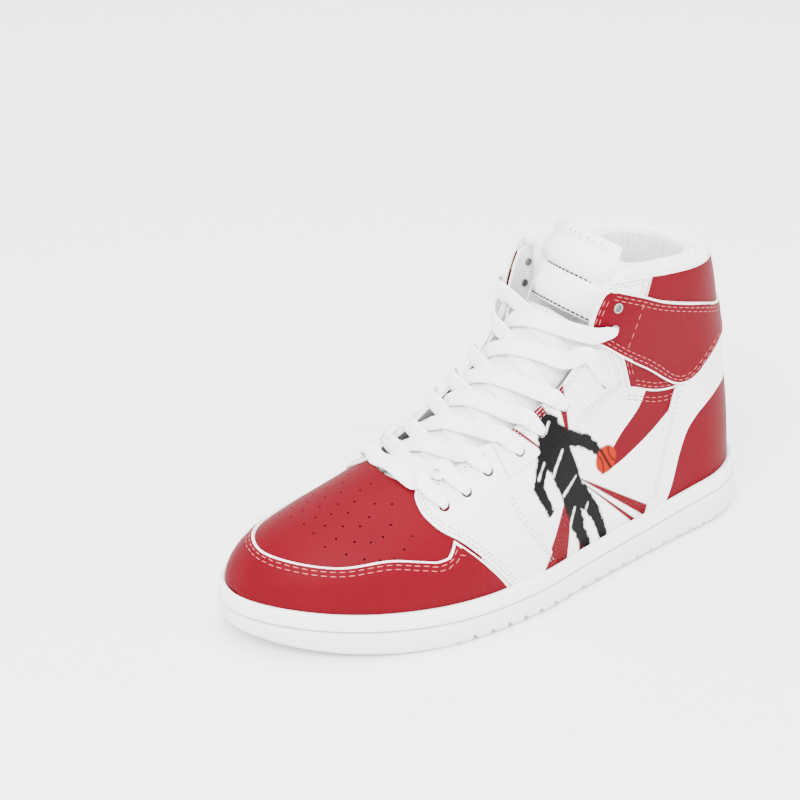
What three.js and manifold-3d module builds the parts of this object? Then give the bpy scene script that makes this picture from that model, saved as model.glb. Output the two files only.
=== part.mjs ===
// Basketball high-top, left shoe, in millimetres.
// +Z is up, the toe points to -Y and the outer (lateral) side to +X.
// The upper follows one last: a closed-form surface given by its half width at each
// station (distance forward from the heel) and height. Every panel is a sheet of that
// surface, cut by its own outline and laid at its own depth in the stack of layers.
import * as THREE from 'three';
import { mergeVertices } from 'three/addons/utils/BufferGeometryUtils.js';
import Module from 'manifold-3d';

const wasm = await Module();
wasm.setup();

// ---- driving dimensions ----
const SHOE_LENGTH = 300;
const SHOE_BREADTH = 111;
const COLLAR_HEIGHT = 150;
const SOLE_INSET = 3.6;       // from the sole's outline in to the face of the overlays
const GAP = 0.5;              // between neighbours in the stack
const OVERLAY = 1.2;          // leather overlays
const BASE = 1.2;             // leather base layer
const STIFFENER = 1.2;        // toe puff and heel counter
const LINING = 1.2;           // textile lining
const STRAP = 1.3;            // ankle strap leather
const COLLAR_FOAM = 4.2;      // extra depth of foam at the collar
const TUCK = 6;               // how far panels run down behind the foxing
const FOXING_CLEAR = 0.9;     // between the foxing and the overlays it holds
const FOXING_BAND = 9.2;      // from the moulded groove up to the foxing's edge
const OUTSOLE_FLOOR = 4.5;
const OUTSOLE_WALL = 5;
const TREAD_DEPTH = 1.8;
const TREAD_WIDTH = 2;
const TREAD_GROOVES = 18;
const BOARD = 1.5;
const INSOLE = 4;
const INSOLE_CLEAR = 1.2;     // from the lining in to the insole's edge
const CUSHION = { length: 58, width: 34, depth: 5, corner: 15, station: 46 };
const TONGUE_FACE = 1.2;
const TONGUE_FOAM = 3.4;
const TONGUE_HALF = 25.5;
const LACE_WIDTH = 7.6;
const LACE_THICKNESS = 1.2;
const LACE_CLEAR = 0.8;       // under and over a lace
const SHINGLE = 0.34;         // tilt of crossing laces where one lies on the next
const EYELET_RADIUS = 2.3;
const GROMMET_RADIUS = 3.9;
const GROMMET_BORE = 2.2;
const GROMMET_WALL = 0.6;
const GROMMET_CLEAR = 0.3;    // round the grommet's tube
const FLANGE = 0.5;           // thickness of the grommet's flange
const ROLL_RADIUS = 4;
const ROLL_RISE = 1.5;        // the roll's middle above the collar's edge
const ROLL_FRONT = 104;       // its front end's station

// ---- the last, drawn at its base size and graded to the driving dimensions ----
const BASE_LENGTH = 300;
const BASE_COLLAR = 150;
const GRADE_FROM = 30;
const gradeLength = SHOE_LENGTH / BASE_LENGTH;
const gradeShaft = (COLLAR_HEIGHT - GRADE_FROM) / (BASE_COLLAR - GRADE_FROM);
const LATERAL_HALF = 57;
const MEDIAL_HALF = 53;

const clamp = (x, low = 0, high = 1) => Math.min(high, Math.max(low, x));
const mix = (a, b, t) => a + (b - a) * t;
const smooth = (x) => clamp(x) ** 2 * (3 - 2 * clamp(x));

// A monotone cubic through [x, y] points, held level past its ends.
function curve(points) {
  const x = points.map((p) => p[0]);
  const y = points.map((p) => p[1]);
  const n = x.length;
  const slope = x.slice(1).map((xi, i) => (y[i + 1] - y[i]) / (xi - x[i]));
  const tangent = x.map((_, i) => {
    if (i === 0) return slope[0];
    if (i === n - 1) return slope[n - 2];
    const [a, b] = [slope[i - 1], slope[i]];
    if (a * b <= 0) return 0;
    return (2 * a * b) / (a + b);
  });
  return (at) => {
    if (at <= x[0]) return y[0];
    if (at >= x[n - 1]) return y[n - 1];
    const i = x.findIndex((xi) => xi > at) - 1;
    const h = x[i + 1] - x[i];
    const t = (at - x[i]) / h;
    const [t2, t3] = [t * t, t * t * t];
    return (2 * t3 - 3 * t2 + 1) * y[i] + (t3 - 2 * t2 + t) * h * tangent[i]
      + (3 * t2 - 2 * t3) * y[i + 1] + (t3 - t2) * h * tangent[i + 1];
  };
}

const TOE_START = 188;        // station of the widest lateral point
const BALL = 205;             // station of the widest medial point
const HEEL_ROUND = 40;
const lateralPlan = curve([[0, 35], [35, 37], [85, 43], [130, 50], [165, 56], [188, LATERAL_HALF]]);
const medialPlan = curve([[0, 35.5], [35, 37], [75, 35], [120, 36], [165, 45], [205, MEDIAL_HALF]]);
const foxingTop = curve([[0, 29.2], [90, 24], [190, 21.9], [245, 23.3], [300, 26.9]]);
const ground = curve([[0, 2.5], [12, 0], [215, 0], [250, 1.5], [280, 5], [300, 9]]);
const ridge = curve([[40, 520], [80, 370], [110, 245], [124, 186], [134, 156], [145, 131],
  [155, 117.5], [168, 104.5], [185, 91.5], [205, 79], [222, 71], [245, 63], [266, 55.5],
  [281, 47.5], [290, 39], [296.5, 27]]);
const heelBack = curve([[20, 4], [30, 4.2], [50, 5.4], [75, 9], [100, 14], [120, 19], [140, 24],
  [160, 29]]);
const shaftLean = curve([[22, 1], [60, 0.93], [90, 0.92], [120, 0.96], [140, 1], [165, 1.02]]);
const ankleHalf = curve([[0, 32], [40, 33.5], [80, 36.5], [120, 40], [170, 44]]);
const archInner = curve([[110, 2.6], [170, 2.2], [230, 2.2], [296, 2]]);

const centreLine = (s) => -13 * clamp((s - TOE_START) / (BASE_LENGTH - TOE_START)) ** 2;
const roundHeel = (x, power) => (1 - (1 - clamp(x)) ** power) ** (1 / 2.1);

// Half width of the sole at a station, without the rounding of the heel.
function planHalf(s, side) {
  if (side > 0) {
    if (s < TOE_START) return lateralPlan(s);
    return LATERAL_HALF * (1 - clamp((s - TOE_START) / (BASE_LENGTH - TOE_START)) ** 2.1) ** (1 / 1.75);
  }
  if (s < BALL) return medialPlan(s);
  return MEDIAL_HALF * (1 - clamp((s - BALL) / (BASE_LENGTH - BALL)) ** 2.6) ** (1 / 2);
}

// The same, drawn in by an inset that closes evenly towards the toe.
function insetHalf(s, side, inset) {
  const [widest, at] = side > 0 ? [LATERAL_HALF, TOE_START] : [MEDIAL_HALF, BALL];
  return s < at ? planHalf(s, side) - inset : planHalf(s, side) * (1 - inset / widest);
}

// The sole's outline, inset: w at station s on one side.
function outline(s, side, inset) {
  const q = (s - inset) * BASE_LENGTH / (BASE_LENGTH - 2 * inset);
  return centreLine(q) + side * insetHalf(q, side, inset) * roundHeel(q / HEEL_ROUND, 2.3);
}

const stations = Array.from({ length: 301 }, (_, i) => i * BASE_LENGTH / 300);
const lateralEdge = Math.max(...stations.map((s) => outline(s, 1, 0)));
const medialEdge = Math.min(...stations.map((s) => outline(s, -1, 0)));
const CENTRE = (lateralEdge + medialEdge) / 2;
const gradeBreadth = SHOE_BREADTH / (lateralEdge - medialEdge);

// Half width of the upper at station s and height z.
function upperHalf(s, z, side) {
  const span = BASE_LENGTH - 2 * SOLE_INSET;
  const q = (clamp(s, SOLE_INSET, BASE_LENGTH - SOLE_INSET) - SOLE_INSET) * BASE_LENGTH / span;
  const sole = insetHalf(q, side, SOLE_INSET);
  const back = smooth((175 - s) / 70);
  const width = (sole + (ankleHalf(s) - sole) * smooth((z - 28) / 50) * back)
    * (1 + back * (shaftLean(z) - 1));
  const round = roundHeel((s - heelBack(z)) / 38, 2.3);
  const base = foxingTop(s);
  const e = clamp((z - base) / (ridge(s) - base));
  return width * round * (1 - e ** archInner(s)) ** (1 / 1.88);
}

// Shoemaker's coordinates to the part's frame.
function place(s, w, z) {
  const height = z < GRADE_FROM ? z : GRADE_FROM + (z - GRADE_FROM) * gradeShaft;
  return new THREE.Vector3((w - CENTRE) * gradeBreadth, SHOE_LENGTH / 2 - s * gradeLength, height);
}

// A point of the last and its outward normal.
function lastPoint(s, z, side, w = centreLine(s) + side * upperHalf(s, z, side)) {
  const step = 0.05;
  const h2 = (a, b) => upperHalf(a, b, side || 1) ** 2;
  const ahead = ridge(s + step) > z + step;
  const fs = ahead ? (h2(s + step, z) - h2(s, z)) / step : (h2(s, z) - h2(s - step, z)) / step;
  const fz = ahead && z + step < ridge(s) ? (h2(s, z + step) - h2(s, z)) / step
    : (h2(s, z) - h2(s, z - step)) / step;
  const off = w - centreLine(s);
  const bend = (centreLine(s + step) - centreLine(s)) / step;
  const normal = new THREE.Vector3(2 * off / gradeBreadth, (fs + 2 * off * bend) / gradeLength,
    -fz / (z < GRADE_FROM ? 1 : gradeShaft)).normalize();
  return { p: place(s, w, z), n: normal, s, z };
}

// ---- solids ----
function toGeometry(positions, triangles) {
  const geometry = new THREE.BufferGeometry();
  geometry.setAttribute('position', new THREE.Float32BufferAttribute(positions, 3));
  geometry.setIndex(triangles);
  const merged = mergeVertices(geometry, 1e-3);
  const index = Array.from(merged.index.array);
  const kept = [];
  for (let i = 0; i < index.length; i += 3) {
    const [a, b, c] = index.slice(i, i + 3);
    if (a !== b && b !== c && c !== a) kept.push(a, b, c);
  }
  merged.setIndex(kept);
  return outward(merged);
}

// Turns the faces of a closed body outwards.
function outward(geometry) {
  const at = geometry.attributes.position;
  const index = geometry.index.array;
  const [a, b, c] = [new THREE.Vector3(), new THREE.Vector3(), new THREE.Vector3()];
  let volume = 0;
  for (let i = 0; i < index.length; i += 3) {
    a.fromBufferAttribute(at, index[i]);
    b.fromBufferAttribute(at, index[i + 1]);
    c.fromBufferAttribute(at, index[i + 2]);
    volume += a.dot(b.cross(c));
  }
  if (volume < 0) {
    const turned = [];
    for (let i = 0; i < index.length; i += 3) turned.push(index[i], index[i + 2], index[i + 1]);
    geometry.setIndex(turned);
  }
  geometry.computeVertexNormals();
  return geometry;
}

// A closed body between two grids of points with the same rows and columns.
function between(under, over) {
  const rows = under.length;
  const cols = under[0].length;
  const positions = [];
  for (const grid of [under, over]) {
    for (const row of grid) for (const p of row) positions.push(p.x, p.y, p.z);
  }
  const id = (layer, i, j) => layer * rows * cols + i * cols + j;
  const triangles = [];
  const quad = (a, b, c, d) => triangles.push(a, b, c, a, c, d);
  for (let i = 0; i < rows - 1; i += 1) {
    for (let j = 0; j < cols - 1; j += 1) {
      quad(id(1, i, j), id(1, i + 1, j), id(1, i + 1, j + 1), id(1, i, j + 1));
      quad(id(0, i, j), id(0, i, j + 1), id(0, i + 1, j + 1), id(0, i + 1, j));
    }
    quad(id(0, i, 0), id(0, i + 1, 0), id(1, i + 1, 0), id(1, i, 0));
    quad(id(0, i + 1, cols - 1), id(0, i, cols - 1), id(1, i, cols - 1), id(1, i + 1, cols - 1));
  }
  for (let j = 0; j < cols - 1; j += 1) {
    quad(id(0, 0, j + 1), id(0, 0, j), id(1, 0, j), id(1, 0, j + 1));
    quad(id(0, rows - 1, j), id(0, rows - 1, j + 1), id(1, rows - 1, j + 1), id(1, rows - 1, j));
  }
  return toGeometry(positions, triangles);
}

// A sheet of the last: at(u, v) gives a point and normal, depths may vary with it.
function sheet(at, nu, nv, low, high) {
  const depth = (value, sample) => (typeof value === 'function' ? value(sample) : value);
  const under = [];
  const over = [];
  for (let i = 0; i <= nu; i += 1) {
    const row = Array.from({ length: nv + 1 }, (_, j) => at(i / nu, j / nv));
    under.push(row.map((q) => q.p.clone().addScaledVector(q.n, depth(low, q))));
    over.push(row.map((q) => q.p.clone().addScaledVector(q.n, depth(high, q))));
  }
  return between(under, over);
}

function solid(geometry) {
  const bare = new THREE.BufferGeometry();
  bare.setAttribute('position', geometry.attributes.position.clone());
  if (geometry.index) bare.setIndex(geometry.index.clone());
  const merged = mergeVertices(bare, 1e-3);
  return new wasm.Manifold(new wasm.Mesh({
    numProp: 3,
    vertProperties: new Float32Array(merged.attributes.position.array),
    triVerts: new Uint32Array(merged.index.array),
  }));
}

function fromSolid(body) {
  const mesh = body.getMesh();
  const geometry = new THREE.BufferGeometry();
  geometry.setAttribute('position', new THREE.Float32BufferAttribute(mesh.vertProperties, 3));
  geometry.setIndex(Array.from(mesh.triVerts));
  geometry.computeVertexNormals();
  return geometry;
}

function cut(geometry, tools) {
  let body = solid(geometry);
  for (const tool of tools) body = body.subtract(solid(tool));
  return fromSolid(body);
}

// A round cutter along a surface normal.
function drill(at, radius, sides = 8) {
  const tool = new THREE.CylinderGeometry(radius, radius, 24, sides);
  tool.applyQuaternion(new THREE.Quaternion().setFromUnitVectors(new THREE.Vector3(0, 1, 0), at.n));
  tool.translate(at.p.x, at.p.y, at.p.z);
  return tool;
}

// ---- stack of layers, measured from the face of the overlays (0) inwards ----
const LAYER = { overlay: [-OVERLAY, 0] };
LAYER.base = [LAYER.overlay[0] - GAP - BASE, LAYER.overlay[0] - GAP];
LAYER.stiffener = [LAYER.base[0] - GAP - STIFFENER, LAYER.base[0] - GAP];
LAYER.lining = [LAYER.stiffener[0] - GAP - LINING, LAYER.stiffener[0] - GAP];
LAYER.strap = [GAP, GAP + STRAP];

// ---- outlines of the upper, as stations and heights ----
const collarLine = curve([[20, 146], [50, 149], [75, 151.5], [90, 154], [104, 158.5], [113, 155]]);
const strapTop = curve([[10, 117], [19, 118], [50, 129], [77, 138], [90, 144], [112, 153]]);
const strapLow = curve([[14, 101], [31, 101], [46, 88], [58, 85], [80, 100], [100, 113], [121, 129]]);
const ankleLow = curve([[14, 103], [31, 102], [46, 88], [58, 84.5], [76, 87], [95, 96]]);
const EYELETS = [[207, 65], [195, 69.5], [182, 76.5], [164.5, 82.5], [151, 88.5], [136, 97.5],
  [110, 102], [108, 131], [106, 142]];

// A sheet that wraps round the heel, from one front edge to the other or to the back seam.
// Every such sheet has its columns at the same places, so that the layers nest.
const WRAP_DEPTH = 177;
const WRAP_COLUMNS = 15;
const WRAP_STEP = 15;
const wrapStation = (k, z) => heelBack(z) + WRAP_DEPTH * (1 - Math.cos(Math.PI * k / WRAP_COLUMNS / 2));

function heelWrap({ low, top, front, layer, only = 0, nv = 5 }) {
  const solve = (stationAt, v) => {
    let z = mix(low(30), top(30), v);
    for (let pass = 0; pass < 14; pass += 1) {
      const s = stationAt(z);
      z = mix(z, mix(low(s), top(s), v), 0.7);
    }
    return [stationAt(z), z];
  };
  const rows = Array.from({ length: nv + 1 }, (_, j) => j / nv);
  const common = (k, v) => solve((z) => wrapStation(k, z), v)[0];
  let shared = 1;
  while (shared < WRAP_COLUMNS && rows.every((v) => common(shared + 1, v) < front(v) - 3)) shared += 1;
  const reach = Math.max(...rows.map((v) => front(v) - common(shared, v)));
  const last = shared + Math.ceil(reach / WRAP_STEP);
  const columns = [];
  for (let k = only ? 0 : -last; k <= last; k += 1) columns.push(k);
  const side = (k) => (only || Math.sign(k));
  const at = (u, v) => {
    const k = columns[Math.round(u * (columns.length - 1))];
    const row = Math.abs(k);
    const [s, z] = solve((height) => {
      const edgeShare = (row - shared) / (last - shared);
      if (row > shared) return mix(wrapStation(shared, height), front(v), edgeShare);
      return wrapStation(only && row === 0 ? SEAM : row, height);
    }, v);
    return lastPoint(s, z, side(k));
  };
  return sheet(at, columns.length - 1, nv, layer[0], layer[1]);
}

// A sheet on one side, ruled between a front and a rear edge, each [station, height] from v.
// The bow hollows its top edge.
function sidePanel({ side, front, rear, layer, nu = 5, nv = 8, bow = 0 }) {
  const at = (u, v) => {
    const [a, b] = [front(v), rear(v)];
    const across = [b[1] - a[1], a[0] - b[0]];
    const hollow = bow * 4 * u * (1 - u) * v / Math.hypot(...across);
    return lastPoint(mix(b[0], a[0], u) - hollow * across[0], mix(b[1], a[1], u) - hollow * across[1],
      side);
  };
  return sheet(at, nu, nv, layer[0], layer[1]);
}

// An edge through [station, height] points, by its length.
function edge(points) {
  const path = new THREE.CatmullRomCurve3(points.map((p) => new THREE.Vector3(p[0], p[1], 0)),
    false, 'centripetal');
  return (v) => {
    const p = path.getPointAt(clamp(v));
    return [p.x, p.y];
  };
}

// An arch across the toe: u runs from rear to tip, v from the medial to the lateral foxing.
function toeArch({ rear, tip, layer, nu = 10, nv = 14, tuck = TUCK }) {
  const wall = 0.22;
  const at = (u, v) => {
    const phi = mix(-1 - wall, 1 + wall, v);
    const side = Math.sign(phi);
    const s = mix(rear(phi), tip, Math.sin(Math.PI * u / 2));
    const base = foxingTop(s);
    const over = Math.abs(phi) - 1;
    const z = over > 0 ? base - tuck * over / wall
      : base + (ridge(s) - base) * Math.cos(Math.PI * phi / 2);
    return lastPoint(s, z, side);
  };
  return sheet(at, nu, nv, layer[0], layer[1]);
}

const eyelet = (side, row) => lastPoint(EYELETS[row][0], EYELETS[row][1], side);
const holes = (side, rows) => rows.map((row) => drill(eyelet(side, row), EYELET_RADIUS));
const grommetHoles = (side) => [7, 8].map((row) => drill(eyelet(side, row), GROMMET_BORE
  + GROMMET_WALL + GROMMET_CLEAR));

// ---- the sole ----
// Stacked outlines joined into one body; each level has an inset and a height at each station.
function loft(levels, stations = 30, across = 2) {
  const rings = levels.map(({ inset, z }) => {
    const ring = [];
    for (let i = 0; i <= stations; i += 1) {
      const t = (1 - Math.cos(Math.PI * i / stations)) / 2;
      const s = inset + (BASE_LENGTH - 2 * inset) * t;
      const [a, b] = [outline(s, -1, inset), outline(s, 1, inset)];
      ring.push(Array.from({ length: across + 1 }, (_, j) => place(s, mix(a, b, j / across), z(s))));
    }
    return ring;
  });
  const positions = [];
  const triangles = [];
  const point = (p) => {
    positions.push(p.x, p.y, p.z);
    return positions.length / 3 - 1;
  };
  const ids = rings.map((ring) => ring.map((row) => row.map(point)));
  const quad = (a, b, c, d) => triangles.push(a, b, c, a, c, d);
  const bottom = ids[0];
  const top = ids[ids.length - 1];
  for (let i = 0; i < stations; i += 1) {
    for (let j = 0; j < across; j += 1) {
      quad(top[i][j], top[i + 1][j], top[i + 1][j + 1], top[i][j + 1]);
      quad(bottom[i][j], bottom[i][j + 1], bottom[i + 1][j + 1], bottom[i + 1][j]);
    }
    for (let k = 0; k < ids.length - 1; k += 1) {
      const [a, b] = [ids[k], ids[k + 1]];
      quad(a[i][0], a[i + 1][0], b[i + 1][0], b[i][0]);
      quad(a[i + 1][across], a[i][across], b[i][across], b[i + 1][across]);
    }
  }
  return toGeometry(positions, triangles);
}

const groove = (s) => foxingTop(s) - FOXING_BAND;
const boardLow = (s) => foxingTop(s) - TUCK - GAP - BOARD;
const coreTop = (s) => boardLow(s) - GAP;
const coreInset = OUTSOLE_WALL + GAP;

function outsole() {
  const body = loft([
    { inset: 3.4, z: ground },
    { inset: 1.1, z: (s) => ground(s) + 2.2 },
    { inset: 0, z: (s) => mix(ground(s), groove(s), 0.6) },
    { inset: 0.7, z: (s) => groove(s) - GAP / 2 },
  ]);
  const pocket = loft([
    { inset: OUTSOLE_WALL, z: (s) => ground(s) + OUTSOLE_FLOOR },
    { inset: OUTSOLE_WALL, z: (s) => groove(s) + 20 },
  ], 28);
  const tread = [];
  const [first, last] = [30, 204];
  for (let i = 0; i < TREAD_GROOVES; i += 1) {
    const s = mix(first, last, i / (TREAD_GROOVES - 1));
    for (const side of [-1, 1]) {
      const box = new THREE.BoxGeometry(SHOE_BREADTH, TREAD_WIDTH, 2 * TREAD_DEPTH);
      box.translate(side * SHOE_BREADTH / 2, 0, 0);
      box.rotateZ(-side * 0.16);
      const at = place(s, 0, ground(s));
      box.translate(at.x, at.y, at.z);
      tread.push(box);
    }
  }
  return cut(body, [pocket, ...tread]);
}

function foxing() {
  const band = loft([
    { inset: 1.2, z: (s) => groove(s) + GAP / 2 },
    { inset: 0.7, z: (s) => groove(s) + 1.6 },
    { inset: 0.8, z: (s) => foxingTop(s) - 1.2 },
    { inset: 1.5, z: foxingTop },
  ]);
  const inside = SOLE_INSET - FOXING_CLEAR;
  const hollow = loft([
    { inset: inside, z: (s) => groove(s) - 5 },
    { inset: inside, z: (s) => foxingTop(s) + 5 },
  ]);
  return cut(band, [hollow]);
}

function cushionShape(extra) {
  const [a, b, r] = [CUSHION.width / 2 + extra, CUSHION.length / 2 + extra, CUSHION.corner + extra];
  const shape = new THREE.Shape();
  shape.moveTo(a, -b + r);
  shape.lineTo(a, b - r);
  shape.absarc(a - r, b - r, r, 0, Math.PI / 2, false);
  shape.lineTo(-a + r, b);
  shape.absarc(-a + r, b - r, r, Math.PI / 2, Math.PI, false);
  shape.lineTo(-a, -b + r);
  shape.absarc(-a + r, -b + r, r, Math.PI, 1.5 * Math.PI, false);
  shape.lineTo(a - r, -b);
  shape.absarc(a - r, -b + r, r, 1.5 * Math.PI, 2 * Math.PI, false);
  return shape;
}

// The cushion lies in a pocket that opens under the board.
function cushionBlock(extra, rise) {
  const low = coreTop(CUSHION.station + CUSHION.length / 2) - CUSHION.depth - 0.6;
  const block = new THREE.ExtrudeGeometry(cushionShape(extra),
    { depth: CUSHION.depth + extra + rise, bevelEnabled: false, curveSegments: 5 });
  const at = place(CUSHION.station, CENTRE, 0);
  block.translate(at.x, at.y, low - extra);
  return block;
}

function midsoleCore() {
  const body = loft([
    { inset: coreInset, z: (s) => ground(s) + OUTSOLE_FLOOR + GAP },
    { inset: coreInset, z: coreTop },
  ], 28);
  return cut(body, [cushionBlock(GAP, 20)]);
}

const board = () => loft([
  { inset: SOLE_INSET + 0.2, z: boardLow },
  { inset: SOLE_INSET + 0.2, z: (s) => boardLow(s) + BOARD },
], 28);

const insoleInset = SOLE_INSET - LAYER.lining[0] + INSOLE_CLEAR;
const insole = () => loft([
  { inset: insoleInset, z: (s) => foxingTop(s) - TUCK },
  { inset: insoleInset, z: (s) => foxingTop(s) - TUCK + INSOLE },
], 28);

// ---- the upper ----
const panelFoot = (s) => foxingTop(s) - TUCK;

const toeBox = () => toeArch({
  rear: (phi) => 218.5 - 20 * smooth(Math.abs(phi)), tip: 294.6, layer: LAYER.base,
});

const toePuff = () => toeArch({
  rear: () => 256, tip: 291, layer: LAYER.stiffener, nu: 5, tuck: 2,
});

const vampLining = () => toeArch({
  rear: () => 220.5, tip: 287.5, layer: LAYER.lining, nu: 7, tuck: 2,
});

// The mudguard is a band round the toe; its rear edge leans forward as it rises.
function mudguard() {
  const guardTop = curve([[204, 51], [210, 50], [214, 44], [224, 45.5], [240, 47.5], [262, 45.5],
    [281, 46.5]]);
  const rearEdge = curve([[15, 179], [22, 182.5], [36, 193.5], [50, 207], [58, 216.5]]);
  const ridgeStation = (z) => {
    let [low, high] = [200, 296.4];
    for (let i = 0; i < 30; i += 1) {
      const mid = (low + high) / 2;
      if (ridge(mid) > z) low = mid;
      else high = mid;
    }
    return Math.min(low, 295.6);
  };
  const at = (u, v) => {
    const t = mix(-1, 1, u);
    const sweep = 1 - Math.cos(Math.PI * Math.abs(t) / 2);
    let z = mix(20, 46, v);
    let s = 240;
    for (let pass = 0; pass < 14; pass += 1) {
      s = mix(ridgeStation(z), rearEdge(z), sweep);
      z = mix(z, mix(panelFoot(s), guardTop(s), v), 0.7);
    }
    return lastPoint(s, z, Math.sign(t));
  };
  return sheet(at, 30, 4, LAYER.overlay[0], LAYER.overlay[1]);
}

// The front leg of the eyestay, with the three lowest eyelets.
const forefootPanel = (side) => cut(sidePanel({
  side,
  front: edge([[176.5, 15.9], [181, 22], [192, 36], [205, 50], [214.5, 57.5], [217.5, 63], [216.5, 67.5],
    [212.5, 71.3]]),
  rear: edge([[150, 16.2], [150, 22], [156, 34], [170, 56], [174, 70], [175, 80], [176, 87]]),
  layer: LAYER.overlay, nu: 5, nv: 10, bow: 1.4,
}), holes(side, [0, 1, 2]));

// The rear part of the eyestay, up to the ankle strap.
const eyestay = (side) => cut(sidePanel({
  side,
  front: edge([[173.5, 73.2], [174.6, 80], [175.4, 87.6]]),
  rear: edge([[97, 97], [103, 112], [110, 124], [120.5, 127]]),
  layer: LAYER.overlay, nu: 10, nv: 5, bow: 7,
}), holes(side, [3, 4, 5, 6]));

const quarterTop = curve([[20, 141], [50, 144], [75, 146], [90, 148], [103, 151.5], [113, 150],
  [119, 138], [123.5, 121], [131, 111], [141, 103.5], [156, 96], [168, 90], [184, 84], [197, 76.5]]);
const SEAM = 0.03;            // half the back seam, in columns of the wrap

// The base layer of one side, from under the forefoot panel to the back seam.
const quarter = (side) => cut(heelWrap({
  low: panelFoot, top: quarterTop, front: () => 197, layer: LAYER.base, only: side, nv: 7,
}), [...holes(side, [1, 2, 3, 4, 5, 6]), ...grommetHoles(side)]);

const heelOverlay = () => heelWrap({
  low: panelFoot, top: (s) => ankleLow(s) - 0.6, front: (v) => mix(86, 61, v ** 0.8),
  layer: LAYER.overlay, nv: 6,
});

const anklePanel = () => {
  const front = curve([[0, 94.5], [0.35, 100.5], [0.6, 107], [0.85, 115.5], [1, 110.5]]);
  const body = heelWrap({
    low: ankleLow, top: (s) => strapTop(s) - 7, front, layer: LAYER.overlay, nv: 5,
  });
  return cut(body, [1, -1].flatMap(grommetHoles));
};

const ankleStrap = () => {
  const front = curve([[0, 121], [0.35, 120.4], [0.8, 115], [1, 111]]);
  const body = heelWrap({
    low: strapLow, top: strapTop, front, layer: LAYER.strap, nv: 5,
  });
  return cut(body, [1, -1].flatMap(grommetHoles));
};

const collarPanel = () => heelWrap({
  low: (s) => strapTop(s) - 4.6, top: collarLine, front: (v) => mix(88.5, 84.2, v),
  layer: LAYER.overlay, nv: 3,
});

const collarFront = (side) => sidePanel({
  side,
  front: edge([[111.5, 147.5], [113.4, 152], [111.5, 156]]),
  rear: edge([[89.8, 140.2], [85, 153.8]]),
  layer: LAYER.overlay, nv: 4,
});

const heelCounter = () => heelWrap({
  low: (s) => panelFoot(s) + 1, top: () => 78, front: (v) => mix(88, 58, v ** 1.5),
  layer: LAYER.stiffener, nv: 4,
});

// Extra depth of the padding, full round the ankle and thin at the throat.
const padding = (q) => COLLAR_FOAM * smooth((q.z - 98) / 22) * smooth((112 - q.s) / 28);

const collarFoam = () => heelWrap({
  low: () => 97, top: (s) => quarterTop(s) - 2, front: () => 107,
  layer: [(q) => LAYER.stiffener[0] - 0.88 * padding(q), LAYER.stiffener[1] - 0.8], nv: 4,
});

const liningTop = curve([[20, 139], [50, 142], [75, 144.5], [90, 147], [98, 147], [106, 132], [114, 110],
  [125, 100], [141, 91], [156, 84], [168, 79], [186, 70]]);
const quarterLining = () => heelWrap({
  low: (s) => panelFoot(s) + 0.5, top: liningTop, front: () => 186,
  layer: [(q) => LAYER.lining[0] - padding(q) - 0.1, (q) => LAYER.lining[1] - padding(q) - 0.1], nv: 7,
});

// The padded mesh roll on the rim, above the stack of leather, foam and lining.
function collarRoll() {
  const path = [];
  for (let i = -11.5; i <= 11.5; i += 1) {
    const t = i / 11.5;
    const sweep = 1 - Math.cos(Math.PI * Math.abs(t) / 2);
    const s = mix(heelBack(146), ROLL_FRONT, sweep);
    const rim = lastPoint(s, collarLine(s), Math.sign(t));
    const p = rim.p.clone().addScaledVector(rim.n, -(ROLL_RADIUS + 0.5 + 0.35 * padding(rim)));
    p.z = place(0, 0, collarLine(s) + ROLL_RISE - 4 * smooth((s - 96) / 10)).z;
    path.push(p);
  }
  const section = new THREE.Shape();
  section.absarc(0, 0, ROLL_RADIUS, 0, 2 * Math.PI, false);
  return new THREE.ExtrudeGeometry(section, {
    steps: 30, curveSegments: 4, bevelEnabled: false, extrudePath: new THREE.CatmullRomCurve3(path),
  });
}

// ---- the tongue ----
const tongueLine = new THREE.CatmullRomCurve3([[219, 62.5], [205, 70.5], [190, 79], [175, 88.5],
  [160, 99], [147, 109.5], [136, 120], [126, 130], [119, 140], [113, 151], [106.5, 161.5],
  [100, 171]].map(([s, z]) => new THREE.Vector3(s, 0, z)), false, 'centripetal');
const TONGUE_SEAM = 0.745;    // where the upper part hinges, along the tongue
const TONGUE_SPLIT = 0.006;
const TONGUE_CURL = 0.0198;

// A point of the tongue's face: a along it, w across it.
function tonguePoint(a, w) {
  const c = tongueLine.getPointAt(a);
  const t = tongueLine.getTangentAt(a);
  const n = [t.z, -t.x];
  const drop = TONGUE_CURL * w * w;
  const lean = 2 * TONGUE_CURL * w;
  const normal = new THREE.Vector3(lean, -n[0], n[1]).normalize();
  return { p: place(c.x - n[0] * drop, w + CENTRE, c.z - n[1] * drop), n: normal };
}

function tonguePart(from, to, layer, nu, trim = 0) {
  const width = (a) => TONGUE_HALF - 5 * smooth((0.2 - a) / 0.2) - 5 * smooth((a - 0.84) / 0.16) - trim;
  const at = (u, v) => {
    const a = mix(from, to, u);
    return tonguePoint(a, mix(-width(a), width(a), v));
  };
  return sheet(at, nu, 6, layer[0], layer[1]);
}

const TONGUE_LAYER = { face: [-TONGUE_FACE, 0] };
TONGUE_LAYER.foam = [TONGUE_LAYER.face[0] - GAP - TONGUE_FOAM, TONGUE_LAYER.face[0] - GAP];
TONGUE_LAYER.lining = [TONGUE_LAYER.foam[0] - GAP - LINING, TONGUE_LAYER.foam[0] - GAP];
const lowerTongue = (layer, trim) => tonguePart(0, TONGUE_SEAM - TONGUE_SPLIT, layer, 10, trim);
const upperTongue = (layer, trim) => tonguePart(TONGUE_SEAM + TONGUE_SPLIT, 1, layer, 6, trim);

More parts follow.
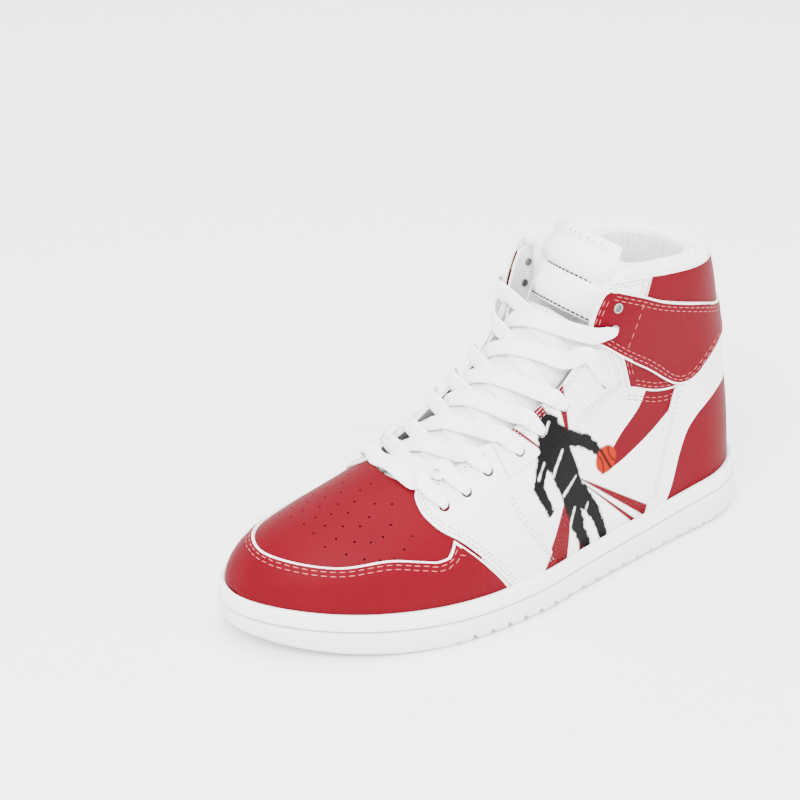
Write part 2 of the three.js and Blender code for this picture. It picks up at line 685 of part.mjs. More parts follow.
// ---- eyelets and lace ----
function grommet(side, row) {
  const top = STRAP + 2 * GAP;
  const bottom = LAYER.base[0] + 0.1;
  const outer = GROMMET_BORE + GROMMET_WALL;
  const profile = [[GROMMET_BORE, bottom], [outer, bottom], [outer, top], [GROMMET_RADIUS, top],
    [GROMMET_RADIUS, top + FLANGE], [GROMMET_BORE, top + FLANGE], [GROMMET_BORE, bottom]];
  const ring = new THREE.LatheGeometry(profile.map(([r, y]) => new THREE.Vector2(r, y)), 12);
  const at = eyelet(side, row);
  ring.applyQuaternion(new THREE.Quaternion().setFromUnitVectors(new THREE.Vector3(0, 1, 0), at.n));
  ring.translate(at.p.x, at.p.y, at.p.z);
  return fromSolid(solid(ring));
}

// A flat ribbon through points that carry the normal of its face and its half width.
function ribbon(stops) {
  const path = new THREE.CatmullRomCurve3(stops.map((q) => q.p), false, 'centripetal');
  const steps = 2 * (stops.length - 1);
  const rows = [];
  for (let i = 0; i <= steps; i += 1) {
    const share = i / steps * (stops.length - 1);
    const k = Math.min(Math.floor(share), stops.length - 2);
    const f = share - k;
    const t = i / steps;
    const p = path.getPoint(t);
    const tangent = path.getTangent(t);
    const n = stops[k].n.clone().lerp(stops[k + 1].n, f);
    n.addScaledVector(tangent, -n.dot(tangent)).normalize();
    const across = new THREE.Vector3().crossVectors(tangent, n);
    const half = mix(stops[k].half, stops[k + 1].half, f);
    const thick = LACE_THICKNESS / 2;
    rows.push([[-1, -1], [1, -1], [1, 1], [-1, 1]].map(([x, y]) => (
      p.clone().addScaledVector(across, x * half).addScaledVector(n, y * thick))));
  }
  const positions = rows.flat().flatMap((q) => [q.x, q.y, q.z]);
  const triangles = [];
  for (let i = 0; i < steps; i += 1) {
    for (let j = 0; j < 4; j += 1) {
      const [a, b] = [i * 4 + j, i * 4 + (j + 1) % 4];
      triangles.push(a, b, b + 4, a, b + 4, a + 4);
    }
  }
  const last = steps * 4;
  triangles.push(0, 2, 1, 0, 3, 2, last, last + 1, last + 2, last, last + 2, last + 3);
  return toGeometry(positions, triangles);
}

const stop = (q, depth, half, n = q.n) => ({ p: q.p.clone().addScaledVector(q.n, depth), n, half });
const WIDE = LACE_WIDTH / 2;
const UNDER = LAYER.base[0] - LACE_CLEAR - LACE_THICKNESS / 2;
const overFace = (row) => LACE_CLEAR + LACE_THICKNESS / 2
  + (row > 6 ? LAYER.strap[1] + 2 * GAP + FLANGE : 0);
// Where each row's lace meets the edge of the throat, and how far along and across the tongue.
const THROAT = [[210.5, 72.2], [199, 77.2], [186.5, 82.6], [170, 89.3], [157, 95.6], [142, 103.2],
  [123, 121.5], [119.5, 131.5]];
const ALONG = [0.065, 0.145, 0.225, 0.335, 0.42, 0.52, 0.64, 0.725];
const ACROSS = [18.4, 20, 20, 23, 24.5, 26.5, 28, 26];
const ARRIVAL = [9.8, 12.3, 10.7, 10.6, 8, 7.6, 7.8, 10.3];   // height over the tongue close to the edge

const edgeOf = (side, row) => lastPoint(THROAT[row][0], THROAT[row][1], side);
const behindEdge = (side, row, share) => lastPoint(mix(THROAT[row][0], EYELETS[row][0], share),
  mix(THROAT[row][1], EYELETS[row][1], share), side);

// Over the edge of the throat and down through the eyelet.
const downEyelet = (side, row) => [
  stop(edgeOf(side, row), overFace(row) + 2, WIDE),
  stop(behindEdge(side, row, 0.5), overFace(row) + 0.6, 3),
  stop(eyelet(side, row), overFace(row), 1.6),
  stop(eyelet(side, row), -OVERLAY, 1.2),
];

// A stop on the tongue between two rows, at a share of the way across from medial (-1) to lateral (1).
function crossing(row, share, side, lift) {
  const f = (1 - side * share) / 2;
  const a = mix(ALONG[row], ALONG[row + 1], f);
  const q = tonguePoint(a, share * mix(ACROSS[row], ACROSS[row + 1], f));
  const up = tongueLine.getTangentAt(a);
  const tilt = SHINGLE * smooth(-share / 0.4);
  const n = q.n.clone().addScaledVector(new THREE.Vector3(0, -up.x, up.z), -tilt).normalize();
  return stop(q, lift, WIDE, n);
}

// One crossing: out from under one side, over the tongue and down the other side's next eyelet.
// Those that start on the medial side pass over those that start on the lateral side.
function laceRun(side, row) {
  const arrival = ARRIVAL[row + 1];
  const lifts = side < 0 ? [2.7, 2.8, 3.6, 4.8, arrival] : [1.3, 1.3, 1.5, 2.7, arrival];
  return ribbon([
    stop(behindEdge(side, row, 0.3), UNDER, 2.6),
    stop(edgeOf(side, row), UNDER, 3),
    ...[0.8, 0.5, 0, -0.5, -0.8].map((share, i) => crossing(row, share * side, side, lifts[i])),
    ...downEyelet(-side, row + 1),
  ]);
}

// The lowest crossing goes down both of the first eyelets.
const laceBar = () => ribbon([
  ...downEyelet(-1, 0).reverse(),
  stop(tonguePoint(ALONG[0], -12), ARRIVAL[0], WIDE),
  stop(tonguePoint(ALONG[0], 12), ARRIVAL[0], WIDE),
  ...downEyelet(1, 0),
]);

// ---- the shoe ----
const shoe = new THREE.Group();
const white = { color: 0xf0f0ef, roughness: 0.45, metalness: 0 };
const red = { color: 0xc0454a, roughness: 0.5, metalness: 0 };
const rubber = { color: 0xe9e9e6, roughness: 0.75, metalness: 0 };
const foam = { color: 0xd9d6cc, roughness: 0.95, metalness: 0 };
const textile = { color: 0xeeeeee, roughness: 0.9, metalness: 0 };
const steel = { color: 0xd8d8d6, roughness: 0.3, metalness: 1 };

function add(name, geometry, finish) {
  const mesh = new THREE.Mesh(geometry, new THREE.MeshStandardMaterial(finish));
  mesh.name = name;
  shoe.add(mesh);
}

add('outsole', outsole(), rubber);
add('foxing_band', foxing(), rubber);
add('midsole_core', midsoleCore(), foam);
add('heel_cushion', cushionBlock(0, 0), foam);
add('strobel_board', board(), textile);
add('insole', insole(), textile);
add('toe_box', toeBox(), red);
add('toe_puff', toePuff(), foam);
add('vamp_lining', vampLining(), textile);
add('mudguard', mudguard(), red);
add('heel_overlay', heelOverlay(), red);
add('heel_counter', heelCounter(), foam);
add('ankle_panel', anklePanel(), red);
add('ankle_strap', ankleStrap(), red);
add('collar_panel', collarPanel(), red);
add('collar_foam', collarFoam(), foam);
add('quarter_lining', quarterLining(), textile);
add('collar_roll', collarRoll(), textile);
for (const [word, side] of [['lateral', 1], ['medial', -1]]) {
  add(`quarter_${word}`, quarter(side), white);
  add(`eyestay_${word}`, eyestay(side), white);
  add(`forefoot_panel_${word}`, forefootPanel(side), white);
  add(`collar_front_${word}`, collarFront(side), white);
  add(`grommet_${word}_lower`, grommet(side, 7), steel);
  add(`grommet_${word}_upper`, grommet(side, 8), steel);
}
add('tongue_face', lowerTongue(TONGUE_LAYER.face, 0), white);
add('tongue_foam', lowerTongue(TONGUE_LAYER.foam, 0.8), foam);
add('tongue_lining', lowerTongue(TONGUE_LAYER.lining, 0), textile);
add('tongue_top_face', upperTongue(TONGUE_LAYER.face, 0), white);
add('tongue_top_foam', upperTongue(TONGUE_LAYER.foam, 0.8), foam);
add('tongue_top_lining', upperTongue(TONGUE_LAYER.lining, 0), textile);
add('lace_bar', laceBar(), textile);
for (let row = 0; row < 7; row += 1) {
  add(`lace_to_lateral_${row + 1}`, laceRun(-1, row), textile);
  add(`lace_to_medial_${row + 1}`, laceRun(1, row), textile);
}

const box = new THREE.Box3().setFromObject(shoe);
const middle = box.getCenter(new THREE.Vector3());
shoe.position.set(-middle.x, -middle.y, -box.min.z);

export default shoe;
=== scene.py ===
"""The looks of a leather basketball high top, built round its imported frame."""
import math

import bpy
import numpy as np
from mathutils import Matrix, Vector
from mathutils.kdtree import KDTree


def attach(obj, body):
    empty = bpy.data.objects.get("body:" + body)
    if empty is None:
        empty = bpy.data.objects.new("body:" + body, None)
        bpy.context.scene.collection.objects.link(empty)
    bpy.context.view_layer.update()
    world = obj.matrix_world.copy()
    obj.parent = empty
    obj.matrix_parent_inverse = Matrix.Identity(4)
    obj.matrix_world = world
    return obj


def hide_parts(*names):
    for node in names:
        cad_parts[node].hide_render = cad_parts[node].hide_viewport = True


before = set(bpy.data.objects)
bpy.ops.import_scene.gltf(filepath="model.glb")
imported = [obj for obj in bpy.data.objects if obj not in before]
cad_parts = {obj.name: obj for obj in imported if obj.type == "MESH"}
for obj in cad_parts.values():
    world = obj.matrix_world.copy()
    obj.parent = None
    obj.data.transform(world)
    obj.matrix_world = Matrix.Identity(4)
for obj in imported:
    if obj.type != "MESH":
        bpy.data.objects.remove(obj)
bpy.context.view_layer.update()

bpy.ops.object.select_all(action="DESELECT")
MM = 0.001

# ---- driving sizes of the shoe, in millimetres ----
SHOE_LENGTH = 300.0
SOLE_INSET = 3.6
CENTRE = 1.416                # from the last's centre line to the frame's origin
FOXING_BAND = 9.2
TUCK = 6.0
OVERLAY = (0.0, 1.3)          # depth of a layer's face, and its thickness
BASE = (-1.25, 1.3)
STRAP = (1.8, 1.7)
LINING_DEPTH = -5.1
COLLAR_FOAM = 4.2
TOE_START = 188.0
BALL = 205.0
LATERAL_HALF = 57.0
MEDIAL_HALF = 53.0
LACE_WIDTH = 8.4
LACE_THICKNESS = 1.3
EYELET_RADIUS = 2.7
GROMMET_BORE = 2.0
GROMMET_RING = 2.15           # the visible ring's middle radius
GROMMET_WIRE = 0.5            # its section's radius
GROMMET_BARREL = 1.85         # radius of the tube behind it
GROMMET_DEPTH = 5.6
PERFORATION_RADIUS = 0.55
TREAD_GROOVES = 18


# ---- the last: the surface that every panel follows ----
def mix(a, b, t):
    return a + (b - a) * t


def smooth(x):
    x = np.clip(x, 0, 1)
    return x * x * (3 - 2 * x)


def curve(points):
    """A monotone cubic through [x, y] points, held level past its ends."""
    x, y = np.array(points, float).T
    slope = np.diff(y) / np.diff(x)
    tangent = np.concatenate([slope[:1], np.zeros(len(x) - 2), slope[-1:]])
    product = slope[:-1] * slope[1:]
    rising = product > 0
    tangent[1:-1] = np.where(rising, 2 * product / np.where(rising, slope[:-1] + slope[1:], 1), 0)

    def at(q):
        q = np.clip(q, x[0], x[-1])
        i = np.clip(np.searchsorted(x, q, side="right") - 1, 0, len(x) - 2)
        h = x[i + 1] - x[i]
        t = (q - x[i]) / h
        return ((2 * t**3 - 3 * t**2 + 1) * y[i] + (t**3 - 2 * t**2 + t) * h * tangent[i]
                + (3 * t**2 - 2 * t**3) * y[i + 1] + (t**3 - t**2) * h * tangent[i + 1])
    return at


lateral_plan = curve([[0, 35], [35, 37], [85, 43], [130, 50], [165, 56], [188, LATERAL_HALF]])
medial_plan = curve([[0, 35.5], [35, 37], [75, 35], [120, 36], [165, 45], [205, MEDIAL_HALF]])
foxing_top = curve([[0, 29.2], [90, 24], [190, 21.9], [245, 23.3], [300, 26.9]])
ground = curve([[0, 2.5], [12, 0], [215, 0], [250, 1.5], [280, 5], [300, 9]])
ridge = curve([[40, 520], [80, 370], [110, 245], [124, 186], [134, 156], [145, 131], [155, 117.5],
               [168, 104.5], [185, 91.5], [205, 79], [222, 71], [245, 63], [266, 55.5], [281, 47.5],
               [290, 39], [296.5, 27]])
heel_back = curve([[20, 4], [30, 4.2], [50, 5.4], [75, 9], [100, 14], [120, 19], [140, 24], [160, 29]])
shaft_lean = curve([[22, 1], [60, 0.93], [90, 0.92], [120, 0.96], [140, 1], [165, 1.02]])
ankle_half = curve([[0, 32], [40, 33.5], [80, 36.5], [120, 40], [170, 44]])
arch_inner = curve([[110, 2.6], [170, 2.2], [230, 2.2], [296, 2]])


def centre_line(s):
    return -13 * np.clip((s - TOE_START) / (SHOE_LENGTH - TOE_START), 0, 1) ** 2


def round_heel(x):
    return (1 - (1 - np.clip(x, 0, 1)) ** 2.3) ** (1 / 2.1)


def plan_half(s, side, inset):
    """Half width of the sole at a station, without the rounding of the heel."""
    past_widest = np.clip((s - TOE_START) / (SHOE_LENGTH - TOE_START), 0, 1)
    past_ball = np.clip((s - BALL) / (SHOE_LENGTH - BALL), 0, 1)
    out_toe = LATERAL_HALF * (1 - past_widest ** 2.1) ** (1 / 1.75)
    in_toe = MEDIAL_HALF * (1 - past_ball ** 2.6) ** 0.5
    out = np.where(s < TOE_START, lateral_plan(s) - inset, out_toe * (1 - inset / LATERAL_HALF))
    inner = np.where(s < BALL, medial_plan(s) - inset, in_toe * (1 - inset / MEDIAL_HALF))
    return np.where(side > 0, out, inner)


def outline(s, side, inset):
    q = (s - inset) * SHOE_LENGTH / (SHOE_LENGTH - 2 * inset)
    return centre_line(q) + side * plan_half(q, side, inset) * round_heel(q / 40)


def upper_half(s, z, side):
    """Half width of the upper at station s and height z."""
    low, high = SOLE_INSET, SHOE_LENGTH - SOLE_INSET
    q = (np.clip(s, low, high) - low) * SHOE_LENGTH / (high - low)
    sole = plan_half(q, side, SOLE_INSET)
    back = smooth((175 - s) / 70)
    narrowed = sole + (ankle_half(s) - sole) * smooth((z - 28) / 50) * back
    width = narrowed * (1 + back * (shaft_lean(z) - 1))
    base = foxing_top(s)
    e = np.clip((z - base) / (ridge(s) - base), 0, 1)
    return width * round_heel((s - heel_back(z)) / 38) * (1 - e ** arch_inner(s)) ** (1 / 1.88)


def place(s, w, z):
    return np.stack(np.broadcast_arrays(w - CENTRE, SHOE_LENGTH / 2 - s, z), -1).astype(float)


def on_last(s, z, side, depth=0.0):
    """Points of the last and its outward normals; depth moves them off it, outwards."""
    s, z, side = np.broadcast_arrays(np.asarray(s, float), np.asarray(z, float), np.asarray(side, float))
    step = 0.05
    half = upper_half(s, z, side)
    h2 = half**2
    ahead = ridge(s + step) > z + step
    fs = np.where(ahead, upper_half(s + step, z, side) ** 2 - h2, h2 - upper_half(s - step, z, side) ** 2)
    fz = np.where(ahead & (z + step < ridge(s)), upper_half(s, z + step, side) ** 2 - h2,
                  h2 - upper_half(s, z - step, side) ** 2)
    bend = (centre_line(s + step) - centre_line(s)) / step
    off = side * half
    normal = np.stack([2 * off, fs / step + 2 * off * bend, -fz / step], -1)
    normal /= np.maximum(np.linalg.norm(normal, axis=-1, keepdims=True), 1e-9)
    points = place(s, centre_line(s) + off, z)
    return points + normal * np.asarray(depth)[..., None], normal


class Spline:
    """A centripetal Catmull-Rom spline, read by its share of the length."""

    def __init__(self, points, samples=60):
        p = np.array(points, float)
        p = np.concatenate([[2 * p[0] - p[1]], p, [2 * p[-1] - p[-2]]])
        rows = []
        for a, b, c, d in zip(p, p[1:], p[2:], p[3:]):
            t0, t1, t2 = (max(np.linalg.norm(j - i), 1e-6) ** 0.5 for i, j in ((a, b), (b, c), (c, d)))
            m1 = ((b - a) / t0 - (c - a) / (t0 + t1) + (c - b) / t1) * t1
            m2 = ((c - b) / t1 - (d - b) / (t1 + t2) + (d - c) / t2) * t1
            t = np.linspace(0, 1, samples, endpoint=False)[:, None]
            rows.append((2 * t**3 - 3 * t**2 + 1) * b + (t**3 - 2 * t**2 + t) * m1
                        + (3 * t**2 - 2 * t**3) * c + (t**3 - t**2) * m2)
        self.line = np.concatenate(rows + [p[-2:-1]])
        length = np.concatenate([[0], np.cumsum(np.linalg.norm(np.diff(self.line, axis=0), axis=1))])
        self.length = length[-1]
        self.share = length / length[-1]
        self.stops = self.share[::samples]

    def at(self, t):
        return np.stack([np.interp(t, self.share, c) for c in self.line.T], -1)

    def along(self, t):
        d = self.at(np.clip(np.asarray(t) + 0.002, 0, 1)) - self.at(np.clip(np.asarray(t) - 0.002, 0, 1))
        return d / np.linalg.norm(d, axis=-1, keepdims=True)


# ---- outlines of the panels: [station, height] ----
collar_line = curve([[20, 146], [50, 149], [75, 151.5], [90, 154], [104, 158.5], [113, 155]])
strap_top = curve([[10, 117], [19, 118], [50, 129], [77, 138], [90, 144], [112, 153]])
strap_low = curve([[14, 101], [31, 101], [46, 88], [58, 85], [80, 100], [100, 113], [121, 129]])
ankle_low = curve([[14, 103], [31, 102], [46, 88], [58, 84.5], [76, 87], [95, 96]])
quarter_top = curve([[20, 141], [50, 144], [75, 146], [90, 148], [103, 151.5], [113, 150], [119, 138],
                     [123.5, 121], [131, 111], [141, 103.5], [156, 96], [168, 90], [184, 84], [197, 76.5]])
guard_top = curve([[203, 55], [208, 53], [211, 48.5], [214.5, 45], [219, 44.4], [226, 45.6], [240, 47.5],
                   [262, 45.5], [281, 46.5]])
lining_top = curve([[20, 139], [50, 142], [75, 144.5], [90, 147], [98, 147], [106, 132], [114, 110],
                    [125, 100], [141, 91], [156, 84], [168, 79], [186, 70]])
GROMMET_ROWS = [7, 8]
EYELETS = [[207, 65], [195, 69.5], [182, 76.5], [164.5, 82.5], [151, 88.5], [136, 97.5], [110, 102],
           [108, 131], [106, 142]]
THROAT = [[210.5, 72.2], [199, 77.2], [186.5, 82.6], [170, 89.3], [157, 95.6], [142, 103.2],
          [123, 121.5], [119.5, 131.5]]


def eased(line, reach):
    """The same outline with its corners rounded off."""
    steps = np.linspace(-reach, reach, 9)
    return lambda s: sum(line(s + step) for step in steps) / len(steps)


strap_low, ankle_low = eased(strap_low, 9), eased(ankle_low, 9)


def panel_foot(s):
    return foxing_top(s) - TUCK


def padding(s, z):
    """Extra depth of the padding, full round the ankle and thin at the throat."""
    return COLLAR_FOAM * smooth((z - 98) / 22) * smooth((112 - s) / 28)


# ---- sheets of the last: each gives station, height and side from u and v ----
def wrap(low, top, front, only=0):
    """A sheet round the heel, from one front edge to the other, or from the back seam on one side."""
    def at(u, v):
        t = 2 * u - 1 if not only else np.maximum(u, 0.002)
        side = np.where(t < 0, -1.0, 1.0) if not only else np.full_like(u, float(only))
        sweep = 1 - np.cos(math.pi * np.abs(t) / 2)
        z = mix(low(np.full_like(u, 30.0)), top(np.full_like(u, 30.0)), v)
        for _ in range(24):
            s = mix(heel_back(z) + 0.02, front(v), sweep)
            z = mix(z, mix(low(s), top(s), v), 0.6)
        return s, z, side
    return at


def edge(points):
    line = Spline(np.array(points, float))
    return lambda v: line.at(v)


def side_panel(side, front, rear, bow=0.0):
    """A sheet on one side, ruled between a front and a rear edge; the bow hollows its top edge."""
    def at(u, v):
        a, b = front(v), rear(v)
        across = np.stack([b[..., 1] - a[..., 1], a[..., 0] - b[..., 0]], -1)
        across /= np.linalg.norm(across, axis=-1, keepdims=True)
        p = b + (a - b) * u[..., None] - across * (bow * 4 * u * (1 - u) * v)[..., None]
        return p[..., 0], p[..., 1], np.full_like(u, float(side))
    return at


def toe_arch(rear, tip, tuck=TUCK):
    """An arch across the toe: u from rear to tip, v from the medial to the lateral foxing."""
    wall = 0.22

    def at(u, v):
        phi = mix(-1 - wall, 1 + wall, v)
        s = mix(rear(phi), tip, np.sin(math.pi * u / 2))
        base = foxing_top(s)
        over = np.abs(phi) - 1
        z = np.where(over > 0, base - tuck * over / wall,
                     base + (ridge(s) - base) * np.cos(math.pi * phi / 2))
        return s, z, np.where(phi < 0, -1.0, 1.0)
    return at


def guard_arch():
    """The mudguard: a band round the toe whose rear edge leans forward as it rises."""
    rear_edge = curve([[15, 179], [22, 182.5], [36, 193.5], [50, 207], [58, 216.5]])
    stations = np.linspace(200, 296.4, 400)
    heights = ridge(stations)[::-1]

    def at(u, v):
        t = 2 * u - 1
        sweep = 1 - np.cos(math.pi * np.abs(t) / 2)
        z = mix(20.0, 46.0, v)
        for _ in range(70):
            front = np.minimum(np.interp(z, heights, stations[::-1]), 295.6)
            s = mix(front, rear_edge(z), sweep)
            z = mix(z, mix(panel_foot(s), guard_top(s), v), 0.3)
        return s, z, np.where(t < 0, -1.0, 1.0)
    return at


# ---- the tongue's own surface ----
TONGUE = Spline([[219, 62.5], [205, 70.5], [190, 79], [175, 88.5], [160, 99], [147, 109.5], [136, 120],
                 [126, 130], [119, 140], [113, 151], [106.5, 161.5], [100, 171]])
TONGUE_CURL = 0.0198
TONGUE_SEAM = 0.745
TONGUE_SPLIT = 0.006


def tongue_half(a):
    return 25.5 - 5 * smooth((0.2 - a) / 0.2) - 5 * smooth((a - 0.84) / 0.16)


def on_tongue(a, w, depth=0.0):
    """Points of the tongue's face and its normals: a along it, w millimetres across it."""
    a, w, depth = np.broadcast_arrays(np.asarray(a, float), np.asarray(w, float), np.asarray(depth, float))
    c, t = TONGUE.at(a), TONGUE.along(a)
    drop = TONGUE_CURL * w * w
    points = place(c[..., 0] - t[..., 1] * drop, w + CENTRE + 0.085, c[..., 1] + t[..., 0] * drop)
    normal = np.stack([2 * TONGUE_CURL * w, -t[..., 1], -t[..., 0]], -1)
    normal /= np.linalg.norm(normal, axis=-1, keepdims=True)
    return points + normal * depth[..., None], normal


# ---- making pieces ----
def grid(name, nu, nv, surface):
    """A grid shaped by surface(u, v): points in millimetres, outward normals, and texture values."""
    bpy.ops.mesh.primitive_grid_add(x_subdivisions=nu, y_subdivisions=nv, size=2)
    piece = bpy.context.object
    piece.name = piece.data.name = name
    mesh = piece.data
    co = np.empty(len(mesh.vertices) * 3)
    mesh.vertices.foreach_get("co", co)
    co = co.reshape(-1, 3)
    points, normals, texture = surface((co[:, 0] + 1) / 2, (co[:, 1] + 1) / 2)
    mesh.vertices.foreach_set("co", (points * MM).ravel())
    corner = np.empty(len(mesh.loops), int)
    mesh.loops.foreach_get("vertex_index", corner)
    layer = mesh.uv_layers.active or mesh.uv_layers.new(name="UVMap")
    layer.data.foreach_set("uv", texture[corner].ravel())
    mesh.update()
    if normals is not None:
        faces = np.empty(len(mesh.polygons) * 3)
        mesh.polygons.foreach_get("normal", faces)
        first = corner[[p.loop_start for p in mesh.polygons]]
        if np.sum(faces.reshape(-1, 3) * normals[first]) < 0:
            mesh.flip_normals()
    return piece


def alone(piece):
    """Makes one piece the only selected one."""
    bpy.ops.object.select_all(action="DESELECT")
    piece.select_set(True)
    bpy.context.view_layer.objects.active = piece


def apply(piece, kind, **settings):
    """Adds a modifier and applies it."""
    alone(piece)
    modifier = piece.modifiers.new(kind.lower(), kind)
    for key, value in settings.items():
        setattr(modifier, key, value)
    bpy.ops.object.modifier_apply(modifier=modifier.name)


def close(piece, distance=0.00002):
    """Joins the edges that meet and turns the faces outwards."""
    alone(piece)
    bpy.ops.object.mode_set(mode="EDIT")
    bpy.ops.mesh.select_all(action="SELECT")
    bpy.ops.mesh.remove_doubles(threshold=distance)
    bpy.ops.mesh.normals_make_consistent(inside=False)
    bpy.ops.object.mode_set(mode="OBJECT")


def subtract(piece, cutter):
    """Cuts one closed piece out of another."""
    apply(piece, "BOOLEAN", operation="DIFFERENCE", object=cutter, solver="EXACT")
    bpy.data.objects.remove(cutter)


def dress(piece, slot, *materials, nodes=(), body="root", angle=40):
    """Gives a finished piece its materials, its shading and its place in the frame."""
    for material in materials:
        piece.data.materials.append(material)
    alone(piece)
    bpy.ops.object.shade_smooth_by_angle(angle=math.radians(angle))
    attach(piece, body)
    if nodes:
        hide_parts(*nodes)
    return piece


def sheet_of(at, depth):
    """A surface for grid(), on the last at a depth that may vary from place to place."""
    def surface(u, v):
        s, z, side = at(u, v)
        value = depth(u, v, s, z) if callable(depth) else depth
        points, normals = on_last(s, z, side, value)
        return points, normals, np.stack([s, z], -1) / 100
    return surface


def line_border(piece, wide):
    """Gives the faces close to an open border the second material."""
    mesh = piece.data
    ends = np.array([e.vertices[:] for e in mesh.edges])
    used = np.zeros(len(mesh.loops), int)
    mesh.loops.foreach_get("edge_index", used)
    border = ends[np.bincount(used, minlength=len(ends)) == 1]
    spots = np.array([v.co for v in mesh.vertices])
    tree = KDTree(len(border) * 8)
    for i, (a, b) in enumerate(border):
        for k in range(8):
            tree.insert(mix(spots[a], spots[b], k / 8), i * 8 + k)
    tree.balance()
    for face in mesh.polygons:
        if tree.find(face.center)[2] < wide * MM:
            face.material_index = 1


def leather(name, at, nu, nv, depth, thick, slot, face, cutters=(), nodes=(), body="root", bevel=0.35,
            bevel_slot=-1, piping=0.0):
    """A cut panel with rounded, raw edges; piping paints a line of raw edge along its borders."""
    piece = grid(name, nu, nv, sheet_of(at, depth))
    for material in (face, RAW_EDGE):
        piece.data.materials.append(material)
    if piping:
        line_border(piece, piping)
    apply(piece, "SOLIDIFY", thickness=thick * MM, offset=-1, material_offset_rim=1)
    apply(piece, "BEVEL", width=bevel * MM, segments=2, limit_method="ANGLE", angle_limit=math.radians(50),
          material=bevel_slot)
    for cutter in cutters:
        subtract(piece, cutter)
    return dress(piece, slot, nodes=nodes, body=body)


def round_bars(points, normals, radius, low, high, sides=16):
    """Closed round bars through a sheet, one at each point, joined in one cutter."""
    vertices, faces = [], []
    for p, n in zip(points, normals):
        turn = Vector((0, 0, 1)).rotation_difference(Vector(n)).to_matrix()
        start = len(vertices)
        for h in (low, high):
            for k in range(sides):
                a = 2 * math.pi * k / sides
                spot = turn @ Vector((radius * math.cos(a), radius * math.sin(a), h)) + Vector(p)
                vertices.append(spot * MM)
        ring = list(range(start, start + sides))
        over = [i + sides for i in ring]
        faces += [ring[::-1], over]
        faces += [[ring[k], ring[(k + 1) % sides], over[(k + 1) % sides], over[k]] for k in range(sides)]
    mesh = bpy.data.meshes.new("cutter")
    mesh.from_pydata(vertices, [], faces)
    cutter = bpy.data.objects.new("cutter", mesh)
    bpy.context.scene.collection.objects.link(cutter)
    return cutter


def drills(side, rows, radius):
    s, z = np.array([EYELETS[row] for row in rows], float).T
    return round_bars(*on_last(s, z, side), radius, -12, 12)


def grommet_drills():
    return [drills(side, GROMMET_ROWS, GROMMET_BORE) for side in (1, -1)]


# ---- seams: rows of stitches along lines of the last ----
def edge_line(at, depth, border, inset, start=0.0, end=1.0, count=300):
    """A line a distance in from one border of a panel, with its normals."""
    t = np.linspace(start, end, count)
    small = 1e-3
    across = border in ("top", "low")
    rim = 1.0 if border in ("top", "front") else 0.0
    inward = -1.0 if rim else 1.0

    def spot(along, inside):
        inside = rim + inward * inside
        u, v = (along, inside) if across else (inside, along)
        return on_last(*at(u, v), depth)
    here = spot(t, np.full_like(t, small))[0]
    run = spot(np.clip(t + small, 0, 1), np.full_like(t, small))[0] - here
    back = here - spot(np.clip(t - small, 0, 1), np.full_like(t, small))[0]
    run = np.where((t > 0.5)[:, None], back, run)
    deep = spot(t, np.full_like(t, 3 * small))[0] - here
    run_length = np.maximum(np.linalg.norm(run, axis=-1), 1e-9)
    reach = np.linalg.norm(np.cross(run, deep), axis=-1) / run_length / (2 * small)
    return spot(t, np.clip(inset / np.maximum(reach, 1e-6), 0, 0.95))


def last_line(points, side, depth, count=200):
    """A line through [station, height] points on one side."""
    s, z = Spline(points).at(np.linspace(0, 1, count)).T
    return on_last(s, z, side, depth)


bpy.ops.mesh.primitive_uv_sphere_add(segments=8, ring_count=5, radius=1)
bead = bpy.context.object
BEAD_POINTS = np.array([v.co for v in bead.data.vertices])[:, [2, 0, 1]]
BEAD_FACES = [list(p.vertices) for p in bead.data.polygons]
bpy.data.objects.remove(bead)


def stitches(name, lines, material, slot="lace_cotton", pitch=4.4, length=3.3, width=0.5, height=0.3,
             body="root"):
    """Rows of stitches in one piece, evenly spaced along each line."""
    clouds = []
    for points, normals in lines:
        run = np.concatenate([[0], np.cumsum(np.linalg.norm(np.diff(points, axis=0), axis=1))])
        count = max(int(run[-1] / pitch), 1)
        spots = (np.arange(count) + 0.5) * run[-1] / count
        at = np.stack([np.interp(spots, run, c) for c in points.T], -1)
        ahead = np.stack([np.interp(spots + 0.4, run, c) for c in points.T], -1)
        behind = np.stack([np.interp(spots - 0.4, run, c) for c in points.T], -1)
        up = np.stack([np.interp(spots, run, c) for c in normals.T], -1)
        up /= np.linalg.norm(up, axis=-1, keepdims=True)
        along = ahead - behind
        along /= np.maximum(np.linalg.norm(along, axis=-1, keepdims=True), 1e-9)
        across = np.cross(up, along)
        axes = np.stack([along * length / 2, across * width / 2, up * height / 2], 1)
        clouds.append((BEAD_POINTS @ axes) + at[:, None, :])
    cloud = np.concatenate(clouds)
    starts = np.arange(len(cloud)) * len(BEAD_POINTS)
    faces = [[k + start for k in face] for start in starts for face in BEAD_FACES]
    mesh = bpy.data.meshes.new(name)
    mesh.from_pydata((cloud.reshape(-1, 3) * MM).tolist(), [], faces)
    piece = bpy.data.objects.new(name, mesh)
    bpy.context.scene.collection.objects.link(piece)
    return dress(piece, slot, material, body=body, angle=180)


# ---- camera and light ----
RIGHT, UP, BACK = (0.5886, 0.8084, 0.0), (-0.3611, 0.2629, 0.8947), (0.7233, -0.5266, 0.4467)
bpy.ops.object.camera_add()
camera = bpy.context.object
camera.name = "camera"
turn = Matrix((RIGHT, UP, BACK)).transposed().to_4x4()
camera.matrix_world = Matrix.Translation((0.8706, -0.6935, 0.6466)) @ turn
camera.data.lens = 114.3
camera.data.sensor_width = 36
camera.data.clip_start = 0.01
bpy.context.scene.camera = camera


